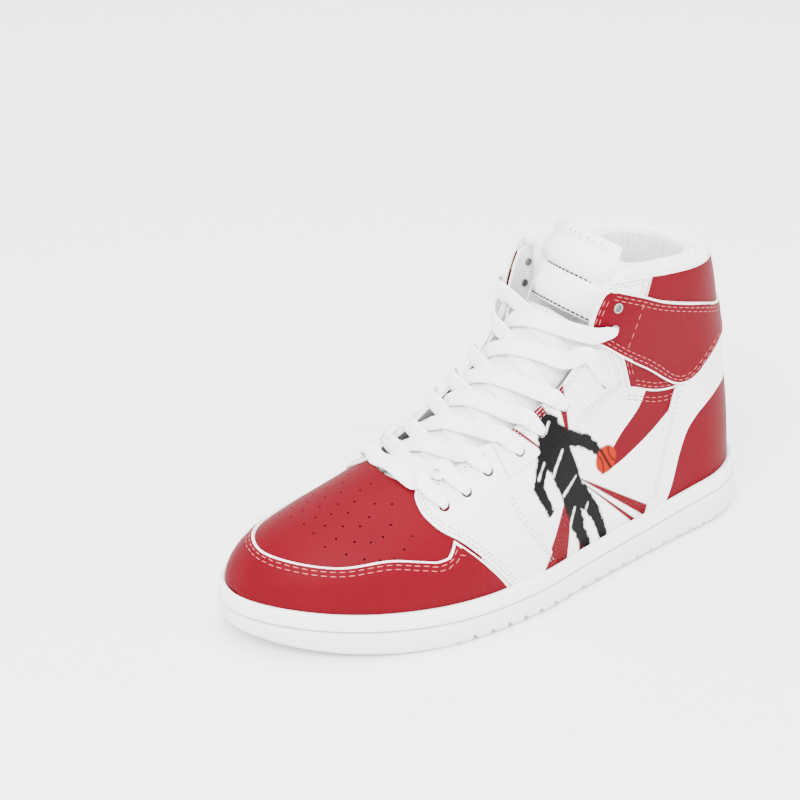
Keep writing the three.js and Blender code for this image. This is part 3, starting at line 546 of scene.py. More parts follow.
def lamp(name, place_at, aim, size, power):
    """A square soft light aimed at a point."""
    bpy.ops.object.light_add(type="AREA", location=place_at)
    light = bpy.context.object
    light.name = name
    light.data.size = size
    light.data.energy = power
    light.rotation_euler = (Vector(aim) - Vector(place_at)).to_track_quat("-Z", "Y").to_euler()


lamp("key_light", (0.9, -1.3, 1.9), (0, 0, 0.05), 1.1, 120)
lamp("side_light", (1.9, 0.7, 0.9), (0, 0, 0.06), 1.2, 34)
lamp("top_light", (-0.3, 0.2, 2.2), (0, 0, 0.05), 1.6, 66)
world = bpy.data.worlds.new("studio")
bpy.context.scene.world = world
world.use_nodes = True
world.node_tree.nodes["Background"].inputs["Color"].default_value = (1, 1, 1, 1)
world.node_tree.nodes["Background"].inputs["Strength"].default_value = 2.6


# ---- materials ----
def add(tree, kind, inputs=None, **settings):
    """Adds a node, sets its properties, and links or sets its inputs."""
    node = tree.nodes.new(kind)
    for key, value in settings.items():
        setattr(node, key, value)
    for key, value in (inputs or {}).items():
        if isinstance(value, bpy.types.NodeSocket):
            tree.links.new(value, node.inputs[key])
        else:
            node.inputs[key].default_value = value
    return node


def calc(tree, operation, a, b=None, c=None):
    values = {i: x for i, x in enumerate((a, b, c)) if x is not None}
    return add(tree, "ShaderNodeMath", values, operation=operation).outputs[0]


def blend(tree, factor, a, b):
    node = add(tree, "ShaderNodeMix", {0: factor, 6: a, 7: b}, data_type="RGBA")
    return node.outputs[2]


def rgb(red, green, blue):
    """A colour from its everyday 0 to 255 values."""
    def linear(c):
        c = c / 255
        return c / 12.92 if c <= 0.04045 else ((c + 0.055) / 1.055) ** 2.4
    return (linear(red), linear(green), linear(blue), 1)


def group(name, inputs, outputs):
    """An empty node group with named inputs and outputs: its tree, its inputs and its output node."""
    tree = bpy.data.node_groups.new(name, "ShaderNodeTree")
    for label, kind, value in inputs:
        socket = tree.interface.new_socket(label, in_out="INPUT", socket_type=kind)
        socket.default_value = value
    for label, kind in outputs:
        tree.interface.new_socket(label, in_out="OUTPUT", socket_type=kind)
    entry = tree.nodes.new("NodeGroupInput")
    return tree, entry.outputs, tree.nodes.new("NodeGroupOutput")


def use(tree, shared, **inputs):
    values = {label.replace("_", " "): value for label, value in inputs.items()}
    node = tree.nodes.new("ShaderNodeGroup")
    node.node_tree = shared
    for key, value in values.items():
        if isinstance(value, bpy.types.NodeSocket):
            tree.links.new(value, node.inputs[key])
        else:
            node.inputs[key].default_value = value
    return node


FLOAT, VECTOR, COLOUR = "NodeSocketFloat", "NodeSocketVector", "NodeSocketColor"


def capsule_group():
    """Distance to a rounded bar between two points, with a radius at each end."""
    tree, entry, out = group("capsule", [("Point", VECTOR, (0, 0, 0)), ("Start", VECTOR, (0, 0, 0)),
                             ("Run", VECTOR, (1, 0, 0)), ("Start radius", FLOAT, 0.1),
                             ("End radius", FLOAT, 0.1)], [("Distance", FLOAT)])
    offset = add(tree, "ShaderNodeVectorMath", {0: entry["Point"], 1: entry["Start"]},
                 operation="SUBTRACT").outputs[0]
    reach = add(tree, "ShaderNodeVectorMath", {0: offset, 1: entry["Run"]}, operation="DOT_PRODUCT")
    size = add(tree, "ShaderNodeVectorMath", {0: entry["Run"], 1: entry["Run"]}, operation="DOT_PRODUCT")
    share = add(tree, "ShaderNodeMath", {0: reach.outputs["Value"], 1: size.outputs["Value"]},
                operation="DIVIDE", use_clamp=True).outputs[0]
    foot = add(tree, "ShaderNodeVectorMath", {0: entry["Run"], "Scale": share}, operation="SCALE")
    gap = add(tree, "ShaderNodeVectorMath", {0: offset, 1: foot.outputs[0]}, operation="SUBTRACT")
    length = add(tree, "ShaderNodeVectorMath", {0: gap.outputs[0]}, operation="LENGTH").outputs["Value"]
    radius = add(tree, "ShaderNodeMapRange", {0: share, 3: entry["Start radius"], 4: entry["End radius"]})
    tree.links.new(calc(tree, "SUBTRACT", length, radius.outputs[0]), out.inputs["Distance"])
    return tree


def ray_group():
    """Distance into a wedge that spreads from a point: below zero inside it."""
    tree, entry, out = group("wedge", [("Point", VECTOR, (0, 0, 0)), ("Start", VECTOR, (0, 0, 0)),
                             ("Direction", VECTOR, (1, 0, 0)), ("Spread", FLOAT, 0.1)],
                             [("Distance", FLOAT)])
    offset = add(tree, "ShaderNodeVectorMath", {0: entry["Point"], 1: entry["Start"]},
                 operation="SUBTRACT").outputs[0]
    along = add(tree, "ShaderNodeVectorMath", {0: offset, 1: entry["Direction"]}, operation="DOT_PRODUCT")
    cross = add(tree, "ShaderNodeVectorMath", {0: offset, 1: entry["Direction"]},
                operation="CROSS_PRODUCT").outputs[0]
    away = add(tree, "ShaderNodeVectorMath", {0: cross}, operation="LENGTH").outputs["Value"]
    width = calc(tree, "MULTIPLY", along.outputs["Value"], entry["Spread"])
    tree.links.new(calc(tree, "SUBTRACT", away, width), out.inputs["Distance"])
    return tree


def grain_group():
    """Fine pebbled grain, as a normal, and the cloud that tints it."""
    tree, entry, out = group("leather_grain", [("Size", FLOAT, 900), ("Strength", FLOAT, 0.2)],
                             [("Normal", VECTOR), ("Cloud", FLOAT)])
    spot = add(tree, "ShaderNodeTexCoord").outputs["Object"]
    cells = add(tree, "ShaderNodeTexVoronoi", {"Vector": spot, "Scale": entry["Size"]},
                feature="SMOOTH_F1").outputs["Distance"]
    cloud = add(tree, "ShaderNodeTexNoise", {"Vector": spot, "Scale": 60.0, "Detail": 3.0}).outputs[0]
    height = calc(tree, "ADD", cells, cloud)
    bump = add(tree, "ShaderNodeBump", {"Height": height, "Strength": entry["Strength"],
                                        "Distance": 0.0004})
    tree.links.new(bump.outputs[0], out.inputs["Normal"])
    tree.links.new(cloud, out.inputs["Cloud"])
    return tree


def play_group():
    """A player in silhouette with a ball, in front of rays: station and height in decimetres."""
    tree, entry, out = group("play_print", [("Paper", COLOUR, (1, 1, 1, 1))], [("Color", COLOUR)])
    place_on = add(tree, "ShaderNodeUVMap").outputs["UV"]
    rough = add(tree, "ShaderNodeTexNoise", {"Vector": place_on, "Scale": 26.0, "Detail": 3.0}).outputs[0]
    wobble = calc(tree, "MULTIPLY_ADD", rough, 0.036, -0.018)
    mist = add(tree, "ShaderNodeTexNoise", {"Vector": place_on, "Scale": 90.0, "Detail": 4.0}).outputs[0]

    def bar(a, b, ra, rb):
        run = (b[0] / 100 - a[0] / 100, b[1] / 100 - a[1] / 100, 0)
        return use(tree, CAPSULE, Point=place_on, Start=(a[0] / 100, a[1] / 100, 0), Run=run,
                   Start_radius=ra / 100, End_radius=rb / 100).outputs[0]

    def wedge(a, b, degrees):
        d = Vector((b[0] - a[0], b[1] - a[1], 0)).normalized()
        return use(tree, WEDGE, Point=place_on, Start=(a[0] / 100, a[1] / 100, 0), Direction=d,
                   Spread=math.tan(math.radians(degrees))).outputs[0]

    def nearest(shapes):
        result = shapes[0]
        for shape in shapes[1:]:
            result = calc(tree, "SMOOTH_MIN", result, shape, 0.015)
        return result

    def inside(distance, soft=0.006):
        return add(tree, "ShaderNodeMapRange", {0: distance, 1: soft, 2: -soft, 3: 0.0, 4: 1.0}).outputs[0]

    sun = (134, 62)
    rays = [wedge(sun, b, d) for b, d in (((150, 21), 11), ((131, 23), 2.2), ((82, 24), 2.6),
            ((138, 108), 3), ((151, 102), 4), ((155, 99), 2), ((164, 92), 1.2), ((100, 30), 1.2))]
    ray = rays[0]
    for other in rays[1:]:
        ray = calc(tree, "MINIMUM", ray, other)
    faded = calc(tree, "MULTIPLY", inside(ray, 0.004),
                 add(tree, "ShaderNodeMapRange", {0: mist, 1: 0.3, 2: 0.42, 3: 0.96, 4: 1.0}).outputs[0])
    colour = blend(tree, faded, entry["Paper"], RED)
    body = nearest([bar((146, 91), (146, 89), 5.2, 5.2), bar((145, 82), (133, 50), 9.5, 7.5),
                    bar((137, 82), (122, 75), 4.2, 3.2), bar((122, 75), (113, 66), 3.2, 2.4),
                    bar((151, 78), (158, 64), 4.4, 3.4), bar((158, 64), (152, 50), 3.2, 2.4),
                    bar((136, 50), (133, 36), 5.8, 4.2), bar((133, 36), (127, 22), 4, 3),
                    bar((129, 50), (120, 38), 5.4, 3.8), bar((120, 38), (114, 22), 3.6, 2.8)])
    figure = inside(calc(tree, "ADD", body, wobble))
    slash = nearest([bar((139, 76), (147, 66), 0.5, 0.9), bar((131, 60), (141, 54), 0.4, 0.8),
                     bar((146, 92), (149, 88), 0.4, 0.7), bar((134, 45), (138, 38), 0.4, 0.8),
                     bar((124, 44), (127, 40), 0.3, 0.6), bar((152, 74), (157, 68), 0.3, 0.7)])
    ink = blend(tree, inside(calc(tree, "ADD", slash, calc(tree, "MULTIPLY", wobble, 0.5))),
                FIGURE_BLACK, rgb(225, 224, 222))
    colour = blend(tree, figure, colour, ink)
    ball = bar((109, 61), (109.1, 61), 7.2, 7.2)
    seam_a = calc(tree, "ABSOLUTE", bar((98, 66), (98.1, 66), 9, 9))
    seam_b = calc(tree, "ABSOLUTE", bar((121, 57), (121.1, 57), 10, 10))
    seam_c = bar((105, 54), (113, 68), 0.35, 0.35)
    seams = calc(tree, "MINIMUM", calc(tree, "MINIMUM", seam_a, seam_b), seam_c)
    skin = blend(tree, inside(calc(tree, "SUBTRACT", seams, 0.004)), BALL_ORANGE, BALL_SEAM)
    colour = blend(tree, inside(ball), colour, skin)
    tree.links.new(colour, out.inputs["Color"])
    return tree


CURVE_SPAN = 160              # millimetres that a boundary curve covers


def boundary(tree, value, points):
    """A curve through [x, y] points in millimetres, read at value in decimetres."""
    node = add(tree, "ShaderNodeFloatCurve", {"Value": calc(tree, "DIVIDE", value, CURVE_SPAN / 100)})
    line = node.mapping.curves[0]
    knots = [[0, points[0][1]]] + points + [[CURVE_SPAN, points[-1][1]]]
    for i, (x, y) in enumerate(knots):
        spot = (x / CURVE_SPAN, y / CURVE_SPAN)
        knot = line.points[i] if i < 2 else line.points.new(*spot)
        knot.location = spot
    for knot in line.points:
        knot.handle_type = "AUTO"
    node.mapping.update()
    return calc(tree, "MULTIPLY", node.outputs[0], CURVE_SPAN / 100)


CAPSULE = capsule_group()
WEDGE = ray_group()
GRAIN = grain_group()
WHITE = rgb(238, 238, 238)
RED = (0.103, 0.0014, 0.006, 1)
FIGURE_BLACK = (0.0035, 0.0035, 0.004, 1)
BALL_ORANGE = (0.27, 0.011, 0.0005, 1)
BALL_SEAM = (0.012, 0.003, 0.002, 1)
PLAY = play_group()


def start(name):
    material = bpy.data.materials.new(name)
    material.use_nodes = True
    tree = material.node_tree
    return material, tree, tree.nodes["Principled BSDF"]


def skin_leather(name, colour, roughness=0.5, grain=0.2, size=900.0, paint=None):
    """Grained leather; paint(tree) may give a printed colour."""
    material, tree, shade = start(name)
    surface = use(tree, GRAIN, Size=size, Strength=grain)
    base = paint(tree) if paint else colour
    worn = add(tree, "ShaderNodeMapRange", {0: surface.outputs["Cloud"], 1: 0.3, 2: 0.7,
                                            3: 0.955, 4: 1.02}).outputs[0]
    hue = add(tree, "ShaderNodeHueSaturation", {"Value": worn, "Color": base}).outputs[0]
    tree.links.new(hue, shade.inputs["Base Color"])
    tree.links.new(surface.outputs["Normal"], shade.inputs["Normal"])
    shade.inputs["Roughness"].default_value = roughness
    shade.inputs["Specular IOR Level"].default_value = 0.05
    return material


def printed(tree):
    """White leather with the play print and, below the ankle, the red patch behind it."""
    split = add(tree, "ShaderNodeSeparateXYZ", {0: add(tree, "ShaderNodeUVMap").outputs["UV"]})
    s, z = split.outputs[0], split.outputs[1]
    edge_s = boundary(tree, z, [[54, 113], [67, 102], [88, 82]])
    edge_z = boundary(tree, s, [[31, 102], [46, 88], [64, 73], [91, 59], [112, 54]])
    behind, above = calc(tree, "LESS_THAN", s, edge_s), calc(tree, "GREATER_THAN", z, edge_z)
    patch = calc(tree, "MULTIPLY", behind, above)
    paper = blend(tree, patch, WHITE, RED)
    return use(tree, PLAY, Paper=paper).outputs[0]


def heel_paint(tree):
    """The heel is red behind and white in front."""
    split = add(tree, "ShaderNodeSeparateXYZ", {0: add(tree, "ShaderNodeUVMap").outputs["UV"]})
    line = boundary(tree, split.outputs[0], [[22, 75], [36, 70], [50, 60], [56, 50], [64, 31], [70, 20],
                                             [72, 0]])
    return blend(tree, calc(tree, "LESS_THAN", split.outputs[1], line), WHITE, RED)


def cloth(name, colour, size, strength, roughness=0.9, dots=0.0):
    """Knitted or woven cloth with a fine, even relief and small dark openings."""
    material, tree, shade = start(name)
    spot = add(tree, "ShaderNodeTexCoord").outputs["Object"]
    cells = add(tree, "ShaderNodeTexVoronoi", {"Vector": spot, "Scale": size, "Randomness": 0.25})
    holes = add(tree, "ShaderNodeMapRange", {0: cells.outputs["Distance"], 1: 0.12, 2: 0.42,
                                             3: 0.0, 4: 1.0}).outputs[0]
    dark = tuple(c * (1 - dots) for c in colour[:3]) + (1,)
    tree.links.new(blend(tree, holes, dark, colour), shade.inputs["Base Color"])
    bump = add(tree, "ShaderNodeBump", {"Height": holes, "Strength": strength, "Distance": 0.0005})
    tree.links.new(bump.outputs[0], shade.inputs["Normal"])
    shade.inputs["Roughness"].default_value = roughness
    return material


def woven(name, colour):
    """A flat lace: fine crosswise ribs and a lengthwise weave, in across and along millimetres."""
    material, tree, shade = start(name)
    split = add(tree, "ShaderNodeSeparateXYZ", {0: add(tree, "ShaderNodeUVMap").outputs["UV"]})
    across = calc(tree, "SINE", calc(tree, "MULTIPLY", split.outputs[0], 9.0))
    rib = calc(tree, "MULTIPLY_ADD", split.outputs[1], 5.2, calc(tree, "MULTIPLY", across, 0.7))
    height = calc(tree, "MULTIPLY", calc(tree, "SINE", rib), calc(tree, "MULTIPLY_ADD", across, 0.3, 0.7))
    bump = add(tree, "ShaderNodeBump", {"Height": height, "Strength": 0.55, "Distance": 0.00025})
    tree.links.new(bump.outputs[0], shade.inputs["Normal"])
    shadow = add(tree, "ShaderNodeMapRange", {0: height, 1: -1.0, 2: 0.4, 3: 0.96, 4: 1.0}).outputs[0]
    hue = add(tree, "ShaderNodeHueSaturation", {"Value": shadow, "Color": colour}).outputs[0]
    tree.links.new(hue, shade.inputs["Base Color"])
    shade.inputs["Roughness"].default_value = 0.85
    return material


def rubber(name, colour, size, strength, roughness=0.5):
    """Moulded rubber with a fine stipple."""
    material, tree, shade = start(name)
    spot = add(tree, "ShaderNodeTexCoord").outputs["Object"]
    noise = add(tree, "ShaderNodeTexNoise", {"Vector": spot, "Scale": size, "Detail": 2.0}).outputs[0]
    bump = add(tree, "ShaderNodeBump", {"Height": noise, "Strength": strength, "Distance": 0.0004})
    tree.links.new(bump.outputs[0], shade.inputs["Normal"])
    tone = add(tree, "ShaderNodeMapRange", {0: noise, 1: 0.3, 2: 0.7, 3: 0.95, 4: 1.01}).outputs[0]
    hue = add(tree, "ShaderNodeHueSaturation", {"Value": tone, "Color": colour}).outputs[0]
    tree.links.new(hue, shade.inputs["Base Color"])
    shade.inputs["Roughness"].default_value = roughness
    return material


WHITE_LEATHER = skin_leather("white_leather", WHITE)
PRINTED_LEATHER = skin_leather("printed_leather", WHITE, paint=printed)
HEEL_LEATHER = skin_leather("heel_leather", WHITE, paint=heel_paint)
RED_LEATHER = skin_leather("red_leather", RED)
RAW_EDGE = skin_leather("raw_edge", rgb(236, 228, 226), roughness=0.8, grain=0.1)
LINING_MESH = cloth("lining_mesh", rgb(236, 236, 236), 800.0, 0.8, dots=0.35)
COLLAR_MESH = cloth("collar_mesh", rgb(242, 242, 242), 800.0, 0.8, dots=0.16)
SOCK_CLOTH = cloth("sock_fabric", rgb(228, 228, 228), 700.0, 0.5, dots=0.15)
FOAM = cloth("padding_foam", rgb(232, 228, 214), 900.0, 0.5, dots=0.1)
CORE_FOAM = cloth("sole_foam", rgb(226, 224, 216), 500.0, 0.3, dots=0.06)
BOARD_PULP = cloth("board_pulp", rgb(200, 186, 160), 300.0, 0.2, dots=0.1)
COUNTER_FIBRE = cloth("counter_fibre", rgb(210, 206, 196), 260.0, 0.2, dots=0.08)
LACE = woven("lace_cotton", rgb(250, 250, 250))
# White thread painted grey: the grey is painted shade, standing in for the shade along the seams.
THREAD_PAINTED_SEAM_SHADE = skin_leather("thread_painted_seam_shade", rgb(140, 140, 140), roughness=0.7, grain=0.1)
THREAD_DARK = skin_leather("thread_dark", (0.03, 0.03, 0.03, 1), roughness=0.8, grain=0.1)
THREAD_PINK = skin_leather("thread_pink", (0.42, 0.1, 0.105, 1), roughness=0.7, grain=0.1)
FOXING_RUBBER = rubber("foxing_rubber", rgb(242, 242, 240), 300.0, 0.05)
SOLE_RUBBER = rubber("sole_rubber", rgb(232, 231, 228), 1500.0, 0.35, 0.6)


def steel():
    material, tree, shade = start("grommet_metal")
    spot = add(tree, "ShaderNodeTexCoord").outputs["Object"]
    noise = add(tree, "ShaderNodeTexNoise", {"Vector": spot, "Scale": 500.0}).outputs[0]
    rough = add(tree, "ShaderNodeMapRange", {0: noise, 3: 0.25, 4: 0.4}).outputs[0]
    tree.links.new(rough, shade.inputs["Roughness"])
    shade.inputs["Base Color"].default_value = rgb(150, 150, 150)
    shade.inputs["Metallic"].default_value = 1
    return material


STEEL = steel()


# ---- the sole ----
def rings(name, levels, around=180):
    """Stacked outlines, each level an inset and a height at each station; the last closes to a spine."""
    def surface(u, v):
        angle = 2 * math.pi * u
        t = (1 - np.cos(angle)) / 2
        side = np.where(np.sin(angle) < 0, -1.0, 1.0)
        level = np.rint(v * (len(levels) + 1)).astype(int)
        points = np.zeros((len(u), 3))
        for k in range(len(levels) + 2):
            here = level == k
            inset, height = levels[min(max(k - 1, 0), len(levels) - 1)]
            s = inset + (SHOE_LENGTH - 2 * inset) * t[here]
            w = outline(s, side[here], inset)
            if k in (0, len(levels) + 1):
                w = (outline(s, 1.0, inset) + outline(s, -1.0, inset)) / 2
            points[here] = place(s, w, height(s))
        return points, None, np.stack([u * 8, v], -1)
    piece = grid(name, around, len(levels) + 1, surface)
    close(piece, 0.000005)
    return piece


def groove(s):
    return foxing_top(s) - FOXING_BAND


def boxes(name, shapes):
    """Closed boxes joined in one cutter: each is (matrix, half x, half y, half z)."""
    vertices, faces = [], []
    order = [(0, 2, 3, 1), (4, 5, 7, 6), (0, 1, 5, 4), (2, 6, 7, 3), (0, 4, 6, 2), (1, 3, 7, 5)]
    for matrix, a, b, c in shapes:
        first = len(vertices)
        for x, y, z in ((x, y, z) for z in (-c, c) for y in (-b, b) for x in (-a, a)):
            vertices.append((matrix @ Vector((x, y, z))) * MM)
        faces += [[first + i for i in face] for face in order]
    mesh = bpy.data.meshes.new(name)
    mesh.from_pydata(vertices, [], faces)
    cutter = bpy.data.objects.new(name, mesh)
    bpy.context.scene.collection.objects.link(cutter)
    return cutter


def tread_cutter():
    """Slots across the tread, swept back on both sides."""
    shapes = []
    for k in range(TREAD_GROOVES):
        s = mix(30, 204, k / (TREAD_GROOVES - 1))
        for side in (-1, 1):
            centre = Vector((-CENTRE, SHOE_LENGTH / 2 - s, float(ground(s))))
            turn = Matrix.Translation(centre) @ Matrix.Rotation(-side * 0.16, 4, "Z")
            shapes.append((turn @ Matrix.Translation((side * 38.5, 0, 0)), 36.5, 1, 1.8))
    return boxes("tread_cutter", shapes)


def notch_cutter():
    """Small upright notches in the lower edge of the sidewall, lateral and medial."""
    shapes = []
    for k in range(TREAD_GROOVES):
        s = mix(30, 204, k / (TREAD_GROOVES - 1))
        for side in (-1, 1):
            rim = float(outline(np.array(s), side, 0.0)) - CENTRE
            centre = Vector((rim + side * 1.0, SHOE_LENGTH / 2 - s, float(ground(s)) + 0.6))
            shapes.append((Matrix.Translation(centre), 5.2, 1.05, 3.0))
    return boxes("notch_cutter", shapes)


def lift(base, share):
    """A height that rises from the ground towards the groove."""
    return lambda s: mix(ground(s) + base, groove(s), share)


outsole = rings("rubber_outsole", [
    (5.0, lambda s: ground(s)), (3.6, lambda s: ground(s)), (2.4, lambda s: ground(s) + 0.4),
    (1.5, lambda s: ground(s) + 1.3), (1.0, lambda s: ground(s) + 2.6), (0.5, lift(0, 0.35)),
    (0.15, lift(0, 0.5)), (0.0, lift(0, 0.65)), (0.05, lift(0, 0.8)), (0.3, lambda s: groove(s) - 1.5),
    (0.65, lambda s: groove(s) - 0.85), (1.3, lambda s: groove(s) - 0.5),
    (3.2, lambda s: groove(s) - 0.45)])
subtract(outsole, tread_cutter())
subtract(outsole, notch_cutter())
dress(outsole, "sole_rubber", SOLE_RUBBER, nodes=["outsole"], angle=35)

band = rings("foxing_tape", [
    (3.2, lambda s: groove(s) + 0.55), (1.7, lambda s: groove(s) + 0.55), (1.0, lambda s: groove(s) + 0.85),
    (0.7, lambda s: groove(s) + 1.6), (0.6, lambda s: groove(s) + 3), (0.6, lambda s: foxing_top(s) - 3),
    (0.75, lambda s: foxing_top(s) - 1.6), (1.05, lambda s: foxing_top(s) - 0.7),
    (1.6, lambda s: foxing_top(s) - 0.15), (2.4, lambda s: foxing_top(s)),
    (3.3, lambda s: foxing_top(s) - 0.2), (5.2, lambda s: foxing_top(s) - 2.5),
    (5.2, lambda s: groove(s) + 0.3)])
dress(band, "foxing_rubber", FOXING_RUBBER, nodes=["foxing_band"], angle=35)

footbed = rings("sock_footbed", [
    (13.0, lambda s: foxing_top(s) - 6), (11.4, lambda s: foxing_top(s) - 5.6),
    (11.1, lambda s: foxing_top(s) - 4), (11.6, lambda s: foxing_top(s) - 2.6),
    (13.2, lambda s: foxing_top(s) - 2), (20.0, lambda s: foxing_top(s) - 2.2)], around=120)
dress(footbed, "sock_fabric", SOCK_CLOTH, nodes=["insole"], body="insole")

# ---- the panels of the upper ----
def rounded(front, radius, height):
    """A front edge whose two corners are rounded."""
    def at(v):
        c = np.clip((np.abs(2 * v - 1) * height / 2 - (height / 2 - radius)) / radius, 0, 1)
        return front(v) - radius * (1 - np.sqrt(1 - c * c))
    return at


def dense(at):
    """The same sheet with its rows crowded towards the two long borders."""
    return lambda u, v: at(u, (1 - np.cos(math.pi * v)) / 2)


def puffed(base, height):
    """A depth that swells between the borders."""
    def depth(u, v, s, z):
        swell = np.clip(16 * u * (1 - u) * v * (1 - v), 0, 1)
        return base + height * swell ** 0.5
    return depth


quarter_front = lambda v: np.full_like(v, 197.0)
for word, side in (("lateral", 1), ("medial", -1)):
    leather("leather_quarter_" + word, wrap(panel_foot, quarter_top, quarter_front, only=side), 150, 60,
            BASE[0], BASE[1], "white_leather", PRINTED_LEATHER,
            cutters=[drills(side, [1, 2, 3, 4, 5, 6], EYELET_RADIUS),
                     drills(side, GROMMET_ROWS, GROMMET_BORE)],
            nodes=["quarter_" + word])

toe_at = toe_arch(lambda phi: 218.5 - 25 * smooth(1.25 * np.abs(phi)), 294.6)
PERFORATION_ROWS = [(226, 0.50, 5), (232, 0.56, 7), (238, 0.60, 8), (244, 0.58, 9), (250, 0.54, 8),
                    (256, 0.46, 7), (262, 0.34, 5)]
spots = [(s, phi) for s, reach, count in PERFORATION_ROWS for phi in np.linspace(-reach, reach, count)]
hole_s, hole_phi = np.array(spots).T
hole_z = foxing_top(hole_s) + (ridge(hole_s) - foxing_top(hole_s)) * np.cos(math.pi * hole_phi / 2)
hole_side = np.where(hole_phi < 0, -1.0, 1.0)
bars = round_bars(*on_last(hole_s, np.minimum(hole_z, ridge(hole_s) - 0.02), hole_side),
                  PERFORATION_RADIUS, -9, 9, 8)
leather("leather_toe_box", toe_at, 90, 120, BASE[0], BASE[1], "red_leather", RED_LEATHER,
        cutters=[bars], nodes=["toe_box"], bevel=0.3)

guard_at = guard_arch()
leather("leather_mudguard", guard_at, 260, 40, *OVERLAY, "red_leather", RED_LEATHER, nodes=["mudguard"],
        bevel=0.6, bevel_slot=1, piping=0.95)

heel_front = lambda v: mix(86, 61, v**0.8)
heel_at = wrap(panel_foot, lambda s: ankle_low(s) - 0.6, heel_front)
leather("leather_heel", heel_at, 200, 50, *OVERLAY, "red_leather", HEEL_LEATHER, nodes=["heel_overlay"])

ankle_front = curve([[0, 94.5], [0.35, 100.5], [0.6, 107], [0.85, 115.5], [1, 110.5]])
ankle_plain = wrap(ankle_low, lambda s: strap_top(s) - 5, ankle_front)
ankle_at = dense(ankle_plain)
leather("leather_ankle", ankle_at, 200, 40, OVERLAY[0] + 0.1, OVERLAY[1], "red_leather", RED_LEATHER,
        cutters=grommet_drills(), nodes=["ankle_panel"], bevel=0.6, bevel_slot=1,
        piping=0.9)

strap_front = rounded(curve([[0, 121.5], [0.35, 120.4], [0.8, 115.5], [1, 111.5]]), 4.0, 27)
strap_plain = wrap(strap_low, strap_top, strap_front)
strap_at = dense(strap_plain)
leather("leather_strap", strap_at, 220, 40, *STRAP, "red_leather", RED_LEATHER,
        cutters=grommet_drills(), nodes=["ankle_strap"], bevel=0.6, bevel_slot=1,
        piping=0.95)

collar_at = wrap(lambda s: strap_top(s) - 4.6, collar_line, lambda v: mix(88.5, 84.2, v))
leather("leather_collar", collar_at, 180, 24, puffed(0.1, 0.8), 1.3, "red_leather", RED_LEATHER,
        nodes=["collar_panel"], bevel=0.5, bevel_slot=1)

forefoot_front = edge([[176.5, 15.9], [181, 22], [192, 36], [205, 50], [214.5, 57.5], [217.5, 63],
                       [216.5, 67.5], [212.5, 71.3]])
forefoot_rear = edge([[150, 16.2], [150, 22], [156, 34], [170, 56], [174, 70], [175, 80], [176, 87]])
eyestay_front = edge([[173.5, 73.2], [174.6, 80], [175.4, 87.6]])
eyestay_rear = edge([[97, 97], [103, 112], [110, 124], [120.5, 127]])
collar_front = edge([[111.5, 147.5], [113.4, 152], [111.5, 156]])
collar_rear = edge([[89.8, 140.2], [85, 153.8]])
sides = {}
for word, side in (("lateral", 1), ("medial", -1)):
    forefoot_at = side_panel(side, forefoot_front, forefoot_rear, 1.4)
    eyestay_at = side_panel(side, eyestay_front, eyestay_rear, 7)
    corner_at = side_panel(side, collar_front, collar_rear)
    sides[side] = (forefoot_at, eyestay_at, corner_at)
    leather("leather_forefoot_" + word, forefoot_at, 40, 80, *OVERLAY, "white_leather", PRINTED_LEATHER,
            cutters=[drills(side, [0, 1, 2], EYELET_RADIUS)], nodes=["forefoot_panel_" + word])
    leather("leather_eyestay_" + word, eyestay_at, 80, 36, *OVERLAY, "white_leather", PRINTED_LEATHER,
            cutters=[drills(side, [3, 4, 5, 6], EYELET_RADIUS)], nodes=["eyestay_" + word])
    leather("leather_corner_" + word, corner_at, 30, 24, 0.5, 1.3, "white_leather", WHITE_LEATHER,
            nodes=["collar_front_" + word])

# ---- linings and the padded collar ----
def lining_depth(u, v, s, z):
    return LINING_DEPTH - padding(s, z) - 0.1


lining_front = lambda v: np.full_like(v, 186.0)
leather("mesh_quarter_lining", wrap(lambda s: panel_foot(s) + 0.5, lining_top, lining_front), 160, 50,
        lining_depth, 1.2, "lining_mesh", LINING_MESH, nodes=["quarter_lining"])
leather("mesh_vamp_lining", toe_arch(lambda phi: np.full_like(phi, 220.5), 287.5, 2), 40, 50, LINING_DEPTH,
        1.2, "lining_mesh", LINING_MESH, nodes=["vamp_lining"])


def rim_tube(name, inward, rise, wide, tall, drop, nu, nv, front=104.0, seams=0.0):
    """A padded roll along the rim; drop carries its inner side down into the shoe."""
    def surface(u, v):
        t = 2 * u - 1
        side = np.where(t < 0, -1.0, 1.0)
        sweep = 1 - np.cos(math.pi * np.abs(t) / 2)
        s = mix(heel_back(collar_line(30)) + 0.3, front, sweep)
        rim = collar_line(s)
        angle = 2 * math.pi * v
        end = np.sqrt(np.clip(1 - np.clip((np.abs(t) - 0.97) / 0.03, 0, 1) ** 2, 0, 1))
        down = np.where(np.sin(angle) < 0, drop, 0.0)
        reach = inward + 0.35 * padding(s, rim)
        into = reach - wide * np.cos(angle) * end
        z = rim + rise - 4 * smooth((s - 96) / 10) + (tall + down) * np.sin(angle) * end
        foot, normal = on_last(s, rim, side, 0.0)
        level = normal * np.array([1, 1, 0])
        level /= np.linalg.norm(level, axis=-1, keepdims=True)
        points = foot - level * into[:, None]
        points[:, 2] = z
        return points, None, np.stack([s, z], -1) / 100
    piece = grid(name, nu, nv, surface)
    close(piece)
    return piece


collar_pad = rim_tube("collar_pad", 6.8, -0.6, 5.2, 4.6, 26.0, 160, 40, front=106.0)
dress(collar_pad, "lining_mesh", COLLAR_MESH, nodes=["collar_roll", "collar_foam"], angle=180)
binding = rim_tube("collar_binding", 2.0, 0.9, 2.9, 2.2, 3.0, 160, 20, front=108.5)
dress(binding, "white_leather", WHITE_LEATHER, angle=180)


